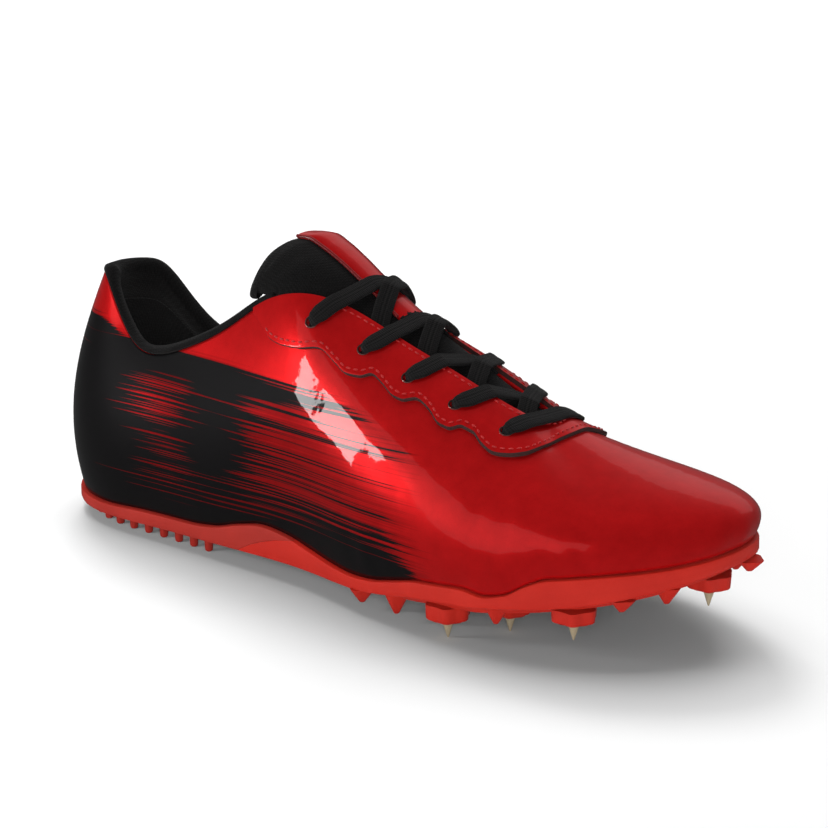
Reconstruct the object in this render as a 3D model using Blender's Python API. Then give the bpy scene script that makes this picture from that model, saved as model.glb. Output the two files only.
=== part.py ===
"""A right track spike shoe, in metres: +X runs to the toe, +Y to the wearer's left, +Z up.

The upper, eyestay, collar cuff, tongue and insole are all worked out from one last: an outline
round the foot, a lip on the sole, and a rib at each place on the outline that climbs from the
lip to the edge of the opening. The shoe stands on its heel nubs and on the pins of its ball.
"""

import math

import bmesh
import bpy
import numpy as np
from mathutils import Vector
from mathutils.bvhtree import BVHTree

# Driving sizes
LENGTH = 0.280
HEEL_WIDTH = 0.064
BALL_WIDTH = 0.097
HEEL_HEIGHT = 0.088
INSTEP_HEIGHT = 0.097
UPPER_WALL = 0.0018
UPPER_INSET = 0.0015
CLEARANCE = 0.0003

SOLE_THICKNESS = 0.010
TOE_SPRING = 0.0147
LIP_WIDTH = 0.0045
LIP_SLOPE = 0.0006
EDGE_ROUND = 0.0014
NUB_HEIGHT = 0.0050
SIT_BACK = 0.0273
NUB_RADIUS = 0.0015
NUB_PITCH = 0.0074
NUB_INSET = 0.0068
NUBS_END = 0.270
HOUSING_RADIUS = 0.0074
HOUSING_HEIGHT = 0.0050
LUG_RADIUS = 0.0042
LUG_HEIGHT = 0.0072
PIN_LENGTH = 0.0060
PIN_RADIUS = 0.0022
PIN_TIP_RADIUS = 0.0004
SHANK_RADIUS = 0.0017
SHANK_LENGTH = 0.0025

INSOLE_THICKNESS = 0.0030
CUFF_WIDTH = 0.0055
CUFF_HEIGHT = 0.0034
CUFF_DEPTH = 0.0120
EYESTAY_THICKNESS = 0.0009
EYESTAY_DEPTH = 0.0170
SCALLOP_DEPTH = 0.0026
EYELET_RADIUS = 0.0023
EYELET_INSET = 0.0078
EYELETS = 5
EYELET_FIRST = 0.430
EYELET_LAST = 0.700
EYESTAY_END = 0.360
CUFF_END = 0.385
TONGUE_WIDTH = 0.041
TONGUE_PAD = 0.0080
PANEL_WIDTH = 0.015
PANEL_THICKNESS = 0.0010
PANEL_SPAN = (0.42, 0.985)
TONGUE_TILT = 0.09
LACE_WIDTH = 0.0056
LACE_THICKNESS = 0.0014

STATIONS_ROUND = 64
RIB_SHARES = (0.0, 0.14, 0.28, 0.42, 0.56, 0.69, 0.80, 0.90, 1.0)

# The origin is on the floor under the middle of the heel. The tables below are in the last's own
# frame; standing, the last sits back on its heel by SIT_BACK, a rise over a run.
ORIGIN_ALONG = 0.143

# The lap where the heel outsole ends over the tail of the spike plate
# along: share of the length; rise: share of SOLE_THICKNESS above the underside
LAP = ((0.338, -0.60), (0.345, 0.10), (0.364, 0.38), (0.386, 0.62), (0.407, 0.80), (0.429, 0.92),
       (0.462, 1.10), (0.500, 1.60))

# Pin housings under the ball and toe; along: share of the length, out: share of half the ball width
HOUSINGS = {
    # name: along, out, stands on the floor
    "lateral_ball": (0.689, -0.820, True),
    "centre_ball": (0.736, -0.470, True),
    "medial_ball": (0.716, 0.720, True),
    "lateral_fore": (0.853, -0.680, False),
    "medial_fore": (0.818, 0.740, False),
    "toe": (0.953, 0.080, False),
}
# Pointed lugs of the plate; along, out, share of LUG_HEIGHT
LUGS = (
    (0.556, -0.800, 0.72), (0.614, -0.840, 1.05), (0.764, -0.860, 0.95), (0.802, -0.480, 0.60),
    (0.905, -0.560, 0.62), (0.938, -0.310, 0.80), (0.990, 0.240, 0.55), (0.950, 0.440, 0.70),
    (0.880, 0.720, 0.80), (0.765, 0.900, 0.95), (0.655, 0.720, 1.00), (0.606, 0.600, 1.05),
    (0.556, 0.500, 0.75), (0.655, -0.300, 0.80), (0.640, 0.150, 0.80), (0.745, 0.180, 0.80),
    (0.850, 0.060, 0.75),
)

# The tongue, a row for each place from its end under the vamp to its top
# along: share of LENGTH; rise: share of INSTEP_HEIGHT; width: share of TONGUE_WIDTH;
# sag: share of the width by which the edges hang; pad: share of TONGUE_PAD
TONGUE = np.array([
    # along, rise, width, sag, pad
    (0.745, 0.590, 0.50, 0.05, 0.25),
    (0.714, 0.636, 0.62, 0.08, 0.28),
    (0.671, 0.704, 0.72, 0.15, 0.32),
    (0.614, 0.786, 0.79, 0.22, 0.38),
    (0.557, 0.858, 0.83, 0.27, 0.45),
    (0.507, 0.925, 0.86, 0.31, 0.52),
    (0.464, 0.990, 0.88, 0.33, 0.60),
    (0.432, 1.056, 0.90, 0.33, 0.70),
    (0.407, 1.108, 0.95, 0.34, 0.80),
    (0.383, 1.150, 0.98, 0.34, 0.75),
    (0.363, 1.168, 0.84, 0.30, 0.50),
])

# The outline of the last, a row for each station from heel to toe
# along: share of the length; lateral, medial: shares of half the local width
OUTLINE = np.array([
    # along, lateral, medial
    (0.000, 0.000, 0.000),
    (0.012, 0.410, 0.410),
    (0.045, 0.750, 0.750),
    (0.107, 0.965, 0.955),
    (0.161, 1.000, 0.985),
    (0.221, 1.010, 0.960),
    (0.286, 0.985, 0.880),
    (0.350, 0.920, 0.785),
    (0.411, 0.860, 0.710),
    (0.464, 0.845, 0.690),
    (0.511, 0.865, 0.730),
    (0.561, 0.905, 0.795),
    (0.618, 0.955, 0.875),
    (0.679, 1.000, 0.935),
    (0.739, 1.010, 0.970),
    (0.793, 0.980, 0.970),
    (0.857, 0.865, 0.895),
    (0.914, 0.680, 0.770),
    (0.962, 0.430, 0.590),
    (0.991, 0.170, 0.370),
    (1.000, -0.100, 0.100),
])

# The sole against the length
# rise: share of the height at which the ball's pins hold the plate; spring: share of TOE_SPRING
# bed, lips: shares of SOLE_THICKNESS above the underside; keel: how far its middle hangs below that
SOLE = np.array([
    # along, rise, spring, bed, lateral lip, medial lip, keel
    (0.000, 0.10, 0.00, 0.40, 0.50, 0.52, 0.00),
    (0.040, 0.02, 0.00, 0.40, 0.47, 0.50, 0.00),
    (0.100, 0.00, 0.00, 0.40, 0.46, 0.50, 0.00),
    (0.180, 0.00, 0.00, 0.40, 0.54, 0.55, 0.00),
    (0.257, 0.00, 0.00, 0.41, 0.55, 0.62, 0.00),
    (0.300, 0.00, 0.00, 0.42, 0.66, 0.80, 0.00),
    (0.345, 0.00, 0.00, 0.43, 0.98, 1.10, 0.00),
    (0.386, 0.00, 0.00, 0.44, 1.17, 1.28, 0.00),
    (0.425, 0.00, 0.00, 0.44, 1.06, 1.22, 0.00),
    (0.464, 0.00, 0.00, 0.42, 0.83, 1.00, 0.00),
    (0.504, 0.00, 0.00, 0.40, 0.62, 0.78, 0.00),
    (0.546, 0.04, 0.00, 0.38, 0.50, 0.60, 0.03),
    (0.586, 0.22, 0.00, 0.36, 0.48, 0.54, 0.10),
    (0.618, 0.45, 0.00, 0.34, 0.54, 0.56, 0.18),
    (0.668, 0.80, 0.00, 0.33, 0.62, 0.60, 0.26),
    (0.732, 1.00, 0.02, 0.33, 0.62, 0.56, 0.28),
    (0.764, 1.00, 0.09, 0.32, 0.42, 0.52, 0.27),
    (0.790, 1.00, 0.15, 0.33, 0.50, 0.60, 0.24),
    (0.818, 1.00, 0.21, 0.35, 0.84, 0.80, 0.20),
    (0.843, 1.00, 0.27, 0.37, 1.02, 0.96, 0.17),
    (0.896, 1.00, 0.44, 0.38, 0.96, 0.94, 0.15),
    (0.943, 1.00, 0.66, 0.38, 0.78, 0.78, 0.14),
    (0.971, 1.00, 0.82, 0.38, 0.64, 0.66, 0.12),
    (1.000, 1.00, 1.00, 0.38, 0.52, 0.52, 0.08),
])

# The ribs of the upper on each side, a row for each row of OUTLINE
# edge along, out, rise: the edge of the opening, as shares of the length, half the local width
# and the local height; belly: share of the local half width by which the rib swells;
# stand, lean, drop: how far up the wall stays upright, and how the rib comes in to the edge
LATERAL_RIBS = np.array([
    # along, out, rise, belly, stand, lean, drop
    (0.053, 0.000, 1.022, 0.24, 0.35, 1.10, 0.36),
    (0.060, 0.290, 1.030, 0.24, 0.35, 1.05, 0.36),
    (0.079, 0.485, 1.030, 0.22, 0.35, 1.00, 0.35),
    (0.111, 0.610, 0.905, 0.20, 0.35, 0.98, 0.33),
    (0.146, 0.720, 0.800, 0.18, 0.35, 0.95, 0.31),
    (0.189, 0.780, 0.765, 0.16, 0.36, 0.92, 0.30),
    (0.250, 0.780, 0.805, 0.15, 0.38, 0.90, 0.28),
    (0.314, 0.690, 0.880, 0.14, 0.40, 0.88, 0.25),
    (0.375, 0.590, 0.978, 0.13, 0.42, 0.86, 0.22),
    (0.429, 0.500, 1.016, 0.13, 0.44, 0.84, 0.19),
    (0.468, 0.365, 0.985, 0.14, 0.45, 0.80, 0.17),
    (0.511, 0.280, 0.928, 0.15, 0.46, 0.74, 0.15),
    (0.571, 0.255, 0.858, 0.16, 0.45, 0.66, 0.13),
    (0.629, 0.235, 0.794, 0.16, 0.42, 0.58, 0.11),
    (0.679, 0.210, 0.732, 0.17, 0.42, 0.54, 0.11),
    (0.709, 0.175, 0.692, 0.18, 0.46, 0.53, 0.14),
    (0.725, 0.115, 0.662, 0.20, 0.50, 0.55, 0.23),
    (0.732, 0.060, 0.648, 0.21, 0.53, 0.58, 0.40),
    (0.7355, 0.020, 0.640, 0.22, 0.59, 0.60, 0.46),
    (0.7375, -0.018, 0.636, 0.24, 0.62, 0.61, 0.49),
    (0.7380, -0.052, 0.635, 0.25, 0.63, 0.61, 0.51),
])
MEDIAL_RIBS = np.array([
    # along, out, rise, belly, stand, lean, drop
    (0.053, 0.000, 1.022, 0.24, 0.35, 1.10, 0.36),
    (0.060, 0.290, 1.010, 0.24, 0.35, 1.05, 0.36),
    (0.077, 0.500, 0.980, 0.22, 0.35, 1.00, 0.35),
    (0.104, 0.690, 0.845, 0.20, 0.35, 0.98, 0.33),
    (0.136, 0.800, 0.730, 0.17, 0.35, 0.95, 0.31),
    (0.182, 0.830, 0.685, 0.15, 0.36, 0.92, 0.30),
    (0.243, 0.815, 0.720, 0.14, 0.38, 0.90, 0.28),
    (0.310, 0.720, 0.810, 0.13, 0.40, 0.88, 0.25),
    (0.373, 0.610, 0.915, 0.13, 0.42, 0.86, 0.22),
    (0.429, 0.505, 0.965, 0.13, 0.44, 0.84, 0.19),
    (0.468, 0.375, 0.930, 0.14, 0.45, 0.80, 0.17),
    (0.511, 0.300, 0.874, 0.15, 0.45, 0.74, 0.16),
    (0.571, 0.280, 0.808, 0.15, 0.42, 0.67, 0.15),
    (0.629, 0.265, 0.742, 0.15, 0.37, 0.61, 0.21),
    (0.679, 0.245, 0.686, 0.15, 0.33, 0.57, 0.29),
    (0.709, 0.220, 0.656, 0.16, 0.33, 0.56, 0.36),
    (0.725, 0.188, 0.644, 0.17, 0.38, 0.57, 0.42),
    (0.732, 0.155, 0.640, 0.19, 0.46, 0.58, 0.47),
    (0.7355, 0.125, 0.637, 0.22, 0.54, 0.60, 0.49),
    (0.7375, 0.090, 0.635, 0.24, 0.60, 0.61, 0.51),
    (0.7380, 0.052, 0.635, 0.25, 0.63, 0.61, 0.51),
])


def smooth_step(value, start, end):
    """Rises from 0 at start to 1 at end, level at both."""
    share = np.clip((value - start) / (end - start), 0.0, 1.0)
    return share * share * (3.0 - 2.0 * share)


def half_width(along):
    """Half the heel's width at the back, passing into half the ball's width."""
    return 0.5 * (HEEL_WIDTH + (BALL_WIDTH - HEEL_WIDTH) * smooth_step(along, 0.20, 0.60))


def height(along):
    """The heel's height at the back, passing into the instep's."""
    return HEEL_HEIGHT + (INSTEP_HEIGHT - HEEL_HEIGHT) * smooth_step(along, 0.15, 0.40)


def closed_spline(knots, values, period, at):
    """A smooth closed cubic curve through the values, read at the given places."""
    steps = np.diff(np.append(knots, knots[0] + period))
    count = len(knots)
    matrix = np.zeros((count, count))
    rate = (np.roll(values, -1, axis=0) - values) / steps[:, None]
    right = np.zeros_like(values)
    for i in range(count):
        before = steps[i - 1]
        after = steps[i]
        matrix[i, i - 1] += before
        matrix[i, i] += 2.0 * (before + after)
        matrix[i, (i + 1) % count] += after
        right[i] = 6.0 * (rate[i] - rate[i - 1])
    bend = np.linalg.solve(matrix, right)
    place = np.mod(np.asarray(at) - knots[0], period)
    i = np.clip(np.searchsorted(knots - knots[0], place, side="right") - 1, 0, count - 1)
    step = steps[i][:, None]
    t = (place - (knots[i] - knots[0]))[:, None] / step
    j = (i + 1) % count
    cubic = ((1.0 - t) ** 3 - (1.0 - t)) * bend[i] + (t**3 - t) * bend[j]
    return values[i] * (1.0 - t) + values[j] * t + cubic * step**2 / 6.0


def outline_knots():
    """A running length round half the outline, the same on both sides."""
    along = OUTLINE[:, 0] * LENGTH
    out = 0.5 * (OUTLINE[:, 1] + np.abs(OUTLINE[:, 2])) * half_width(OUTLINE[:, 0])
    steps = np.hypot(np.diff(along), np.diff(out))
    return np.concatenate([[0.0], np.cumsum(steps)])


def both_sides(lateral, medial):
    """Rows from the heel along the lateral side to the toe, and back along the medial side."""
    return np.concatenate([lateral, medial[-2:0:-1]])


class Last:
    """The last: every piece of the shoe reads its outline, lip and ribs."""

    def __init__(self):
        half = outline_knots()
        self.toe = half[-1]
        self.period = 2.0 * half[-1]
        self.knots = np.concatenate([half, self.period - half[-2:0:-1]])
        along = OUTLINE[:, 0]
        wide = half_width(along)
        side = np.column_stack([along * LENGTH, -OUTLINE[:, 1] * wide])
        other = np.column_stack([along * LENGTH, OUTLINE[:, 2] * wide])
        self.outline_values = both_sides(side, other)
        lateral = self.rib_values(LATERAL_RIBS, -1.0, wide)
        medial = self.rib_values(MEDIAL_RIBS, 1.0, wide)
        self.rib_rows = both_sides(lateral, medial)

    @staticmethod
    def rib_values(table, side, wide):
        along, out, rise, belly, stand, lean, drop = table.T
        return np.column_stack([
            along * LENGTH,
            side * out * half_width(along),
            rise * height(along),
            belly * wide,
            stand,
            lean,
            drop,
        ])

    def read(self, values, at):
        return closed_spline(self.knots, values, self.period, at)

    def outline(self, at):
        """Points of the outline and the level directions that face outwards from it."""
        points = self.read(self.outline_values, at)
        step = self.period * 1e-4
        ahead = self.read(self.outline_values, np.asarray(at) + step)
        behind = self.read(self.outline_values, np.asarray(at) - step)
        tangent = ahead - behind
        tangent /= np.linalg.norm(tangent, axis=1)[:, None]
        return points, np.column_stack([tangent[:, 1], -tangent[:, 0]])

    def spine(self, at):
        """The line down the middle of the foot that each place on the outline faces."""
        at = np.asarray(at)
        points = self.read(self.outline_values, at)
        ends = (0.12 * LENGTH, 0.83 * LENGTH)
        x = np.clip(points[:, 0], *ends)
        dense = np.linspace(0.02, 0.98, 97) * self.toe
        lateral = self.read(self.outline_values, dense)
        medial = self.read(self.outline_values, self.period - dense)
        middle = 0.5 * (lateral[:, 1] + medial[:, 1])
        return np.column_stack([x, np.interp(x, lateral[:, 0], middle)])

    def rib(self, at, share, proud=0.0):
        """A point on each rib at its share of the way up, moved proud of the surface."""
        at = np.asarray(at, dtype=float)
        share = np.asarray(share, dtype=float)
        point = self.rib_point(at, share)
        if proud == 0.0:
            return point
        return point + self.rib_normal(at, share) * proud

    def rib_point(self, at, share):
        edge_x, edge_y, edge_z, belly, stand, lean, drop = self.read(self.rib_rows, at).T
        outline, outward = self.outline(at)
        foot = outline - outward * UPPER_INSET
        foot_z = self.lip(at) + CLEARANCE
        climb = edge_z - foot_z
        edge = np.column_stack([edge_x, edge_y])
        start = np.column_stack([foot, foot_z])
        lower = np.column_stack([foot + outward * belly[:, None], foot_z + stand * climb])
        upper = np.column_stack([edge + lean[:, None] * (foot - edge), edge_z - drop * climb])
        end = np.column_stack([edge, edge_z])
        t = share[:, None]
        s = 1.0 - t
        return s**3 * start + 3.0 * s**2 * t * lower + 3.0 * s * t**2 * upper + t**3 * end

    def rib_normal(self, at, share):
        step = self.period * 5e-4
        around = self.rib_point(at + step, share) - self.rib_point(at - step, share)
        up = self.rib_point(at, np.minimum(share + 0.01, 1.0)) - self.rib_point(
            at, np.maximum(share - 0.01, 0.0)
        )
        normal = np.cross(around, up)
        return normal / np.linalg.norm(normal, axis=1)[:, None]

    def lip(self, at):
        """The height of the sole's lip, from the lateral column to the medial one."""
        at = np.mod(np.asarray(at, dtype=float), self.period)
        along = self.outline(at)[0][:, 0] / LENGTH
        lateral = self.sole_height(along, 4)
        medial = self.sole_height(along, 5)
        return np.where(at <= self.toe, lateral, medial)

    @staticmethod
    def underside(along):
        """The height of the sole's underside above the floor."""
        rise = soft_interp(along, SOLE[:, 0], SOLE[:, 1])
        spring = soft_interp(along, SOLE[:, 0], SOLE[:, 2])
        plate = HOUSING_HEIGHT + PIN_LENGTH + CLEARANCE
        return NUB_HEIGHT + rise * (plate - NUB_HEIGHT) + spring * TOE_SPRING

    @staticmethod
    def keel(along):
        """How far the middle of the underside hangs below its edge."""
        return SOLE_THICKNESS * soft_interp(along, SOLE[:, 0], SOLE[:, 6])

    def sole_height(self, along, column):
        """The height above the floor of the bed or of a lip."""
        share = soft_interp(along, SOLE[:, 0], SOLE[:, column])
        return self.underside(along) + SOLE_THICKNESS * share

    def place_at(self, along, side):
        """The place on the outline where its share of the length is along, on one side."""
        dense = np.linspace(0.0, 1.0, 801) * self.toe
        x = self.read(self.outline_values, dense)[:, 0] / LENGTH
        place = np.interp(along, x, dense)
        return place if side < 0 else self.period - place

    def edge_place(self, along, side):
        """The place whose rib ends at the given share of the length, on one side."""
        dense = np.linspace(0.02, 0.98, 801) * self.toe
        at = dense if side < 0 else self.period - dense
        x = self.read(self.rib_rows, at)[:, 0] / LENGTH
        return float(np.interp(along, x, at))

    def share_below_edge(self, at, distance):
        """The share of each rib that lies the given distance below its edge."""
        at = np.asarray(at, dtype=float)
        distance = np.broadcast_to(distance, at.shape)
        shares = np.linspace(1.0, 0.0, 201)
        found = np.empty(len(at))
        for i, place in enumerate(at):
            run = self.rib_point(np.full(len(shares), place), shares)
            length = np.concatenate([[0.0], np.cumsum(np.linalg.norm(np.diff(run, axis=0), axis=1))])
            found[i] = np.interp(distance[i], length, shares)
        return found


def soft_interp(at, knots, values):
    """A curve through the values with no overshoot between two rows."""
    at = np.clip(np.asarray(at, dtype=float), knots[0], knots[-1])
    steps = np.diff(knots)
    rate = np.diff(values) / steps
    slope = np.zeros_like(values)
    same = rate[:-1] * rate[1:] > 0.0
    mean = 2.0 * rate[:-1] * rate[1:] / np.where(same, rate[:-1] + rate[1:], 1.0)
    slope[1:-1] = np.where(same, mean, 0.0)
    slope[0] = rate[0]
    slope[-1] = rate[-1]
    i = np.clip(np.searchsorted(knots, at, side="right") - 1, 0, len(steps) - 1)
    t = (at - knots[i]) / steps[i]
    a = (1.0 + 2.0 * t) * (1.0 - t) ** 2 * values[i] + t * (1.0 - t) ** 2 * steps[i] * slope[i]
    b = t**2 * (3.0 - 2.0 * t) * values[i + 1] + t**2 * (t - 1.0) * steps[i] * slope[i + 1]
    return a + b


LAST = Last()
AROUND = np.arange(STATIONS_ROUND) / STATIONS_ROUND * LAST.period
ORIGIN = np.array([ORIGIN_ALONG * LENGTH, 0.0, 0.0])


def seat(points):
    """From the last's frame to the floor's: the last sits back about the origin."""
    tilt = math.atan(SIT_BACK)
    moved = np.asarray(points) - ORIGIN
    x = moved[..., 0] * math.cos(tilt) - moved[..., 2] * math.sin(tilt)
    z = moved[..., 0] * math.sin(tilt) + moved[..., 2] * math.cos(tilt)
    return np.stack([x, moved[..., 1], z], axis=-1)


def under_at(x, y=0.0, keel=True):
    """The level of the sole's underside over a place on the floor, with the keel or beside it."""
    along = (x + ORIGIN[0]) / LENGTH
    level = LAST.underside(np.array([along]))[0]
    if keel:
        level -= LAST.keel(np.array([along]))[0]
    return seat(np.array([x + ORIGIN[0], y, level]))[2]


def inside_sole(x, reach):
    """A level inside the sole over a stud: between the underside ahead and the bed behind."""
    along = (x - reach + ORIGIN[0]) / LENGTH
    bed = LAST.sole_height(np.array([along]), 3)[0]
    bed = seat(np.array([along * LENGTH, 0.0, bed]))[2]
    return 0.5 * (under_at(x + reach) + bed)


def clear_scene():
    for thing in list(bpy.data.objects):
        bpy.data.objects.remove(thing, do_unlink=True)


def new_collection(name):
    collection = bpy.data.collections.new(name)
    bpy.context.scene.collection.children.link(collection)
    return collection


def new_material(name, colour, roughness, metallic=0.0):
    """A plain finish: colour, roughness and how metallic it is."""
    material = bpy.data.materials.new(name)
    material.use_nodes = True
    shader = material.node_tree.nodes["Principled BSDF"]
    shader.inputs["Base Color"].default_value = (*colour, 1.0)
    shader.inputs["Roughness"].default_value = roughness
    shader.inputs["Metallic"].default_value = metallic
    material.diffuse_color = (*colour, 1.0)
    return material


def new_object(name, vertices, faces, collection, material=None, smooth=True):
    """A closed mesh with its faces pointing out."""
    mesh = bpy.data.meshes.new(name)
    mesh.from_pydata(np.asarray(vertices).tolist(), [], faces)
    shape = bmesh.new()
    shape.from_mesh(mesh)
    bmesh.ops.remove_doubles(shape, verts=shape.verts, dist=1e-6)
    bmesh.ops.recalc_face_normals(shape, faces=shape.faces)
    shape.to_mesh(mesh)
    shape.free()
    thing = bpy.data.objects.new(name, mesh)
    collection.objects.link(thing)
    if material:
        mesh.materials.append(material)
    if smooth:
        mesh.shade_smooth()
        mesh.set_sharp_from_angle(angle=math.radians(40.0))
    return thing


def new_cutter(name, vertices, faces, collection):
    """A tool for joining or cutting, which isn't part of the shoe."""
    cutter = new_object(name, vertices, faces, collection, smooth=False)
    cutter.hide_render = True
    cutter.display_type = "WIRE"
    return cutter


def join_by(thing, tool, operation):
    """Adds a tool to a body, cuts it away or keeps what they share."""
    modifier = thing.modifiers.new(f"{operation.lower()} {tool.name}", "BOOLEAN")
    modifier.operation = operation
    modifier.solver = "EXACT"
    modifier.object = tool


def grid_faces(rows, columns, wrap, start=0, flip=False):
    """Quads over a grid of points, closed round its rows where wrap is set."""
    faces = []
    for i in range(rows if wrap else rows - 1):
        k = (i + 1) % rows
        for j in range(columns - 1):
            quad = (i * columns + j, k * columns + j, k * columns + j + 1, i * columns + j + 1)
            quad = tuple(start + corner for corner in quad)
            faces.append(quad[::-1] if flip else quad)
    return faces


def slab(outer, inner, wrap=False):
    """A wall between two grids of points: both sides and the rims between them."""
    rows, columns = outer.shape[:2]
    count = rows * columns
    vertices = np.concatenate([outer.reshape(-1, 3), inner.reshape(-1, 3)])
    faces = grid_faces(rows, columns, wrap) + grid_faces(rows, columns, wrap, count, True)
    for i in range(rows if wrap else rows - 1):
        k = (i + 1) % rows
        for j in (0, columns - 1):
            a, b = i * columns + j, k * columns + j
            faces.append((a, b, b + count, a + count))
    if not wrap:
        for i in (0, rows - 1):
            for j in range(columns - 1):
                a, b = i * columns + j, i * columns + j + 1
                faces.append((a, b, b + count, a + count))
    return vertices, faces


def loop_body(profile):
    """A body whose profile, carried round the outline, starts and ends on the spine."""
    rows, columns = profile.shape[:2]
    return profile.reshape(-1, 3), grid_faces(rows, columns, True)


def tube(sections):
    """A closed tube through a row of closed sections, with flat ends."""
    count, sides = sections.shape[:2]
    faces = []
    for i in range(count - 1):
        for j in range(sides):
            k = (j + 1) % sides
            a, b = i * sides, (i + 1) * sides
            faces.append((a + j, a + k, b + k, b + j))
    faces.append(tuple(range(sides)))
    faces.append(tuple(range((count - 1) * sides, count * sides)))
    return sections.reshape(-1, 3), faces


def join_meshes(pieces):
    """Several closed meshes as one list of vertices and faces."""
    vertices = []
    faces = []
    start = 0
    for points, quads in pieces:
        vertices.append(points)
        faces.extend(tuple(start + corner for corner in quad) for quad in quads)
        start += len(points)
    return np.concatenate(vertices), faces


def turned(centre, profile, sides, lobes=0, lobe_share=0.0):
    """A stud: rings of (radius, height) about an upright line, with lobes where asked."""
    angle = 2.0 * np.pi * (np.arange(sides) + (0.0 if lobes else 0.5)) / sides
    swell = 1.0 + lobe_share * np.cos(lobes * angle)
    rings = []
    for radius, level in profile:
        ring = np.empty((sides, 3))
        ring[:, 0] = centre[0] + radius * swell * np.cos(angle)
        ring[:, 1] = centre[1] + radius * swell * np.sin(angle)
        ring[:, 2] = level
        rings.append(ring)
    return tube(np.array(rings))


def inward(at, inset, share):
    """Points moved in from the outline by a distance, then a share of the way to the spine."""
    outline, outward = LAST.outline(at)
    start = outline - outward * inset
    return start + (LAST.spine(at) - start) * share


def bed_points(at, inset, share, column, lift=0.0):
    """Points on the bed, or on the underside where column is None, at their own length."""
    plan = inward(at, inset, share)
    along = plan[:, 0] / LENGTH
    if column is None:
        level = LAST.underside(along) - LAST.keel(along)
    else:
        level = LAST.sole_height(along, column)
    return np.column_stack([plan, level + lift])


def sole_profile(at):
    """From the bed's spine out to the lip, down the side and back under to the spine."""
    outline, outward = LAST.outline(at)
    lip = LAST.lip(at)
    low = LAST.underside(outline[:, 0] / LENGTH)
    bed_edge = LIP_WIDTH + LIP_SLOPE
    return seat(np.stack([
        bed_points(at, bed_edge, 1.0, 3),
        bed_points(at, bed_edge, 0.45, 3),
        bed_points(at, bed_edge, 0.0, 3),
        np.column_stack([outline - outward * LIP_WIDTH, lip]),
        np.column_stack([outline - outward * 0.4 * EDGE_ROUND, lip]),
        np.column_stack([outline, lip - 0.5 * EDGE_ROUND]),
        np.column_stack([outline, low + EDGE_ROUND]),
        np.column_stack([outline - outward * EDGE_ROUND, low]),
        np.column_stack([outline - outward * 2.2 * EDGE_ROUND, low]),
        bed_points(at, 3.6 * EDGE_ROUND, 0.0, None),
        bed_points(at, 3.6 * EDGE_ROUND, 1.0, None),
    ], axis=1))


def lap_cutter(name, shift, cutters):
    """A block that takes the plate's side of the lap, moved along the shoe by shift."""
    xs = np.array([row[0] * LENGTH + shift for row in LAP])
    zs = np.array([
        LAST.underside(np.array([row[0]]))[0] + row[1] * SOLE_THICKNESS for row in LAP
    ])
    low, high = -0.02, 0.06
    outline = [(xs[0], low), *zip(xs, zs), (xs[-1], high), (1.2 * LENGTH, high), (1.2 * LENGTH, low)]
    sections = np.array([[(x, y, z) for x, z in outline] for y in (-BALL_WIDTH, BALL_WIDTH)])
    vertices, faces = tube(seat(sections))
    return new_cutter(name, vertices, faces, cutters)


def heel_nub_places():
    """Nubs in a row round the heel's edge, with a few inside it; one is on the origin."""
    ends = (LAST.place_at(NUBS_END, 1) - LAST.period, LAST.place_at(NUBS_END, -1))
    edge, outward = LAST.outline(np.linspace(*ends, 301))
    row = edge - outward * NUB_INSET
    run = np.concatenate([[0.0], np.cumsum(np.linalg.norm(np.diff(row, axis=0), axis=1))])
    count = max(round(run[-1] / NUB_PITCH), 4)
    spots = np.linspace(0.0, run[-1], count + 1)
    xs, ys = np.interp(spots, run, row[:, 0]) - ORIGIN[0], np.interp(spots, run, row[:, 1])
    places = list(zip(xs, ys))
    for step in (-1.5, 0.0, 1.5, 3.0):
        places.append((step * NUB_PITCH, 0.0))
    return places


def make_heel_outsole(parts, cutters, material):
    body = new_object("heel_outsole", *loop_body(sole_profile(AROUND)), parts, material)
    join_by(body, lap_cutter("lap of the heel", 0.0, cutters), "DIFFERENCE")
    nubs = []
    for x, y in heel_nub_places():
        top = inside_sole(x, NUB_RADIUS)
        nubs.append(turned((x, y), [(NUB_RADIUS, 0.0), (1.2 * NUB_RADIUS, top)], 6))
    join_by(body, new_cutter("heel nubs", *join_meshes(nubs), cutters), "UNION")
    return body


def housing_place(name):
    """The middle of a housing, the level of its open face and the level that it grows from."""
    along, out, on_floor = HOUSINGS[name]
    x, y = along * LENGTH - ORIGIN[0], out * 0.5 * BALL_WIDTH
    under = under_at(x)
    face = PIN_LENGTH + CLEARANCE if on_floor else under - HOUSING_HEIGHT
    return (x, y), face, under


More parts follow.
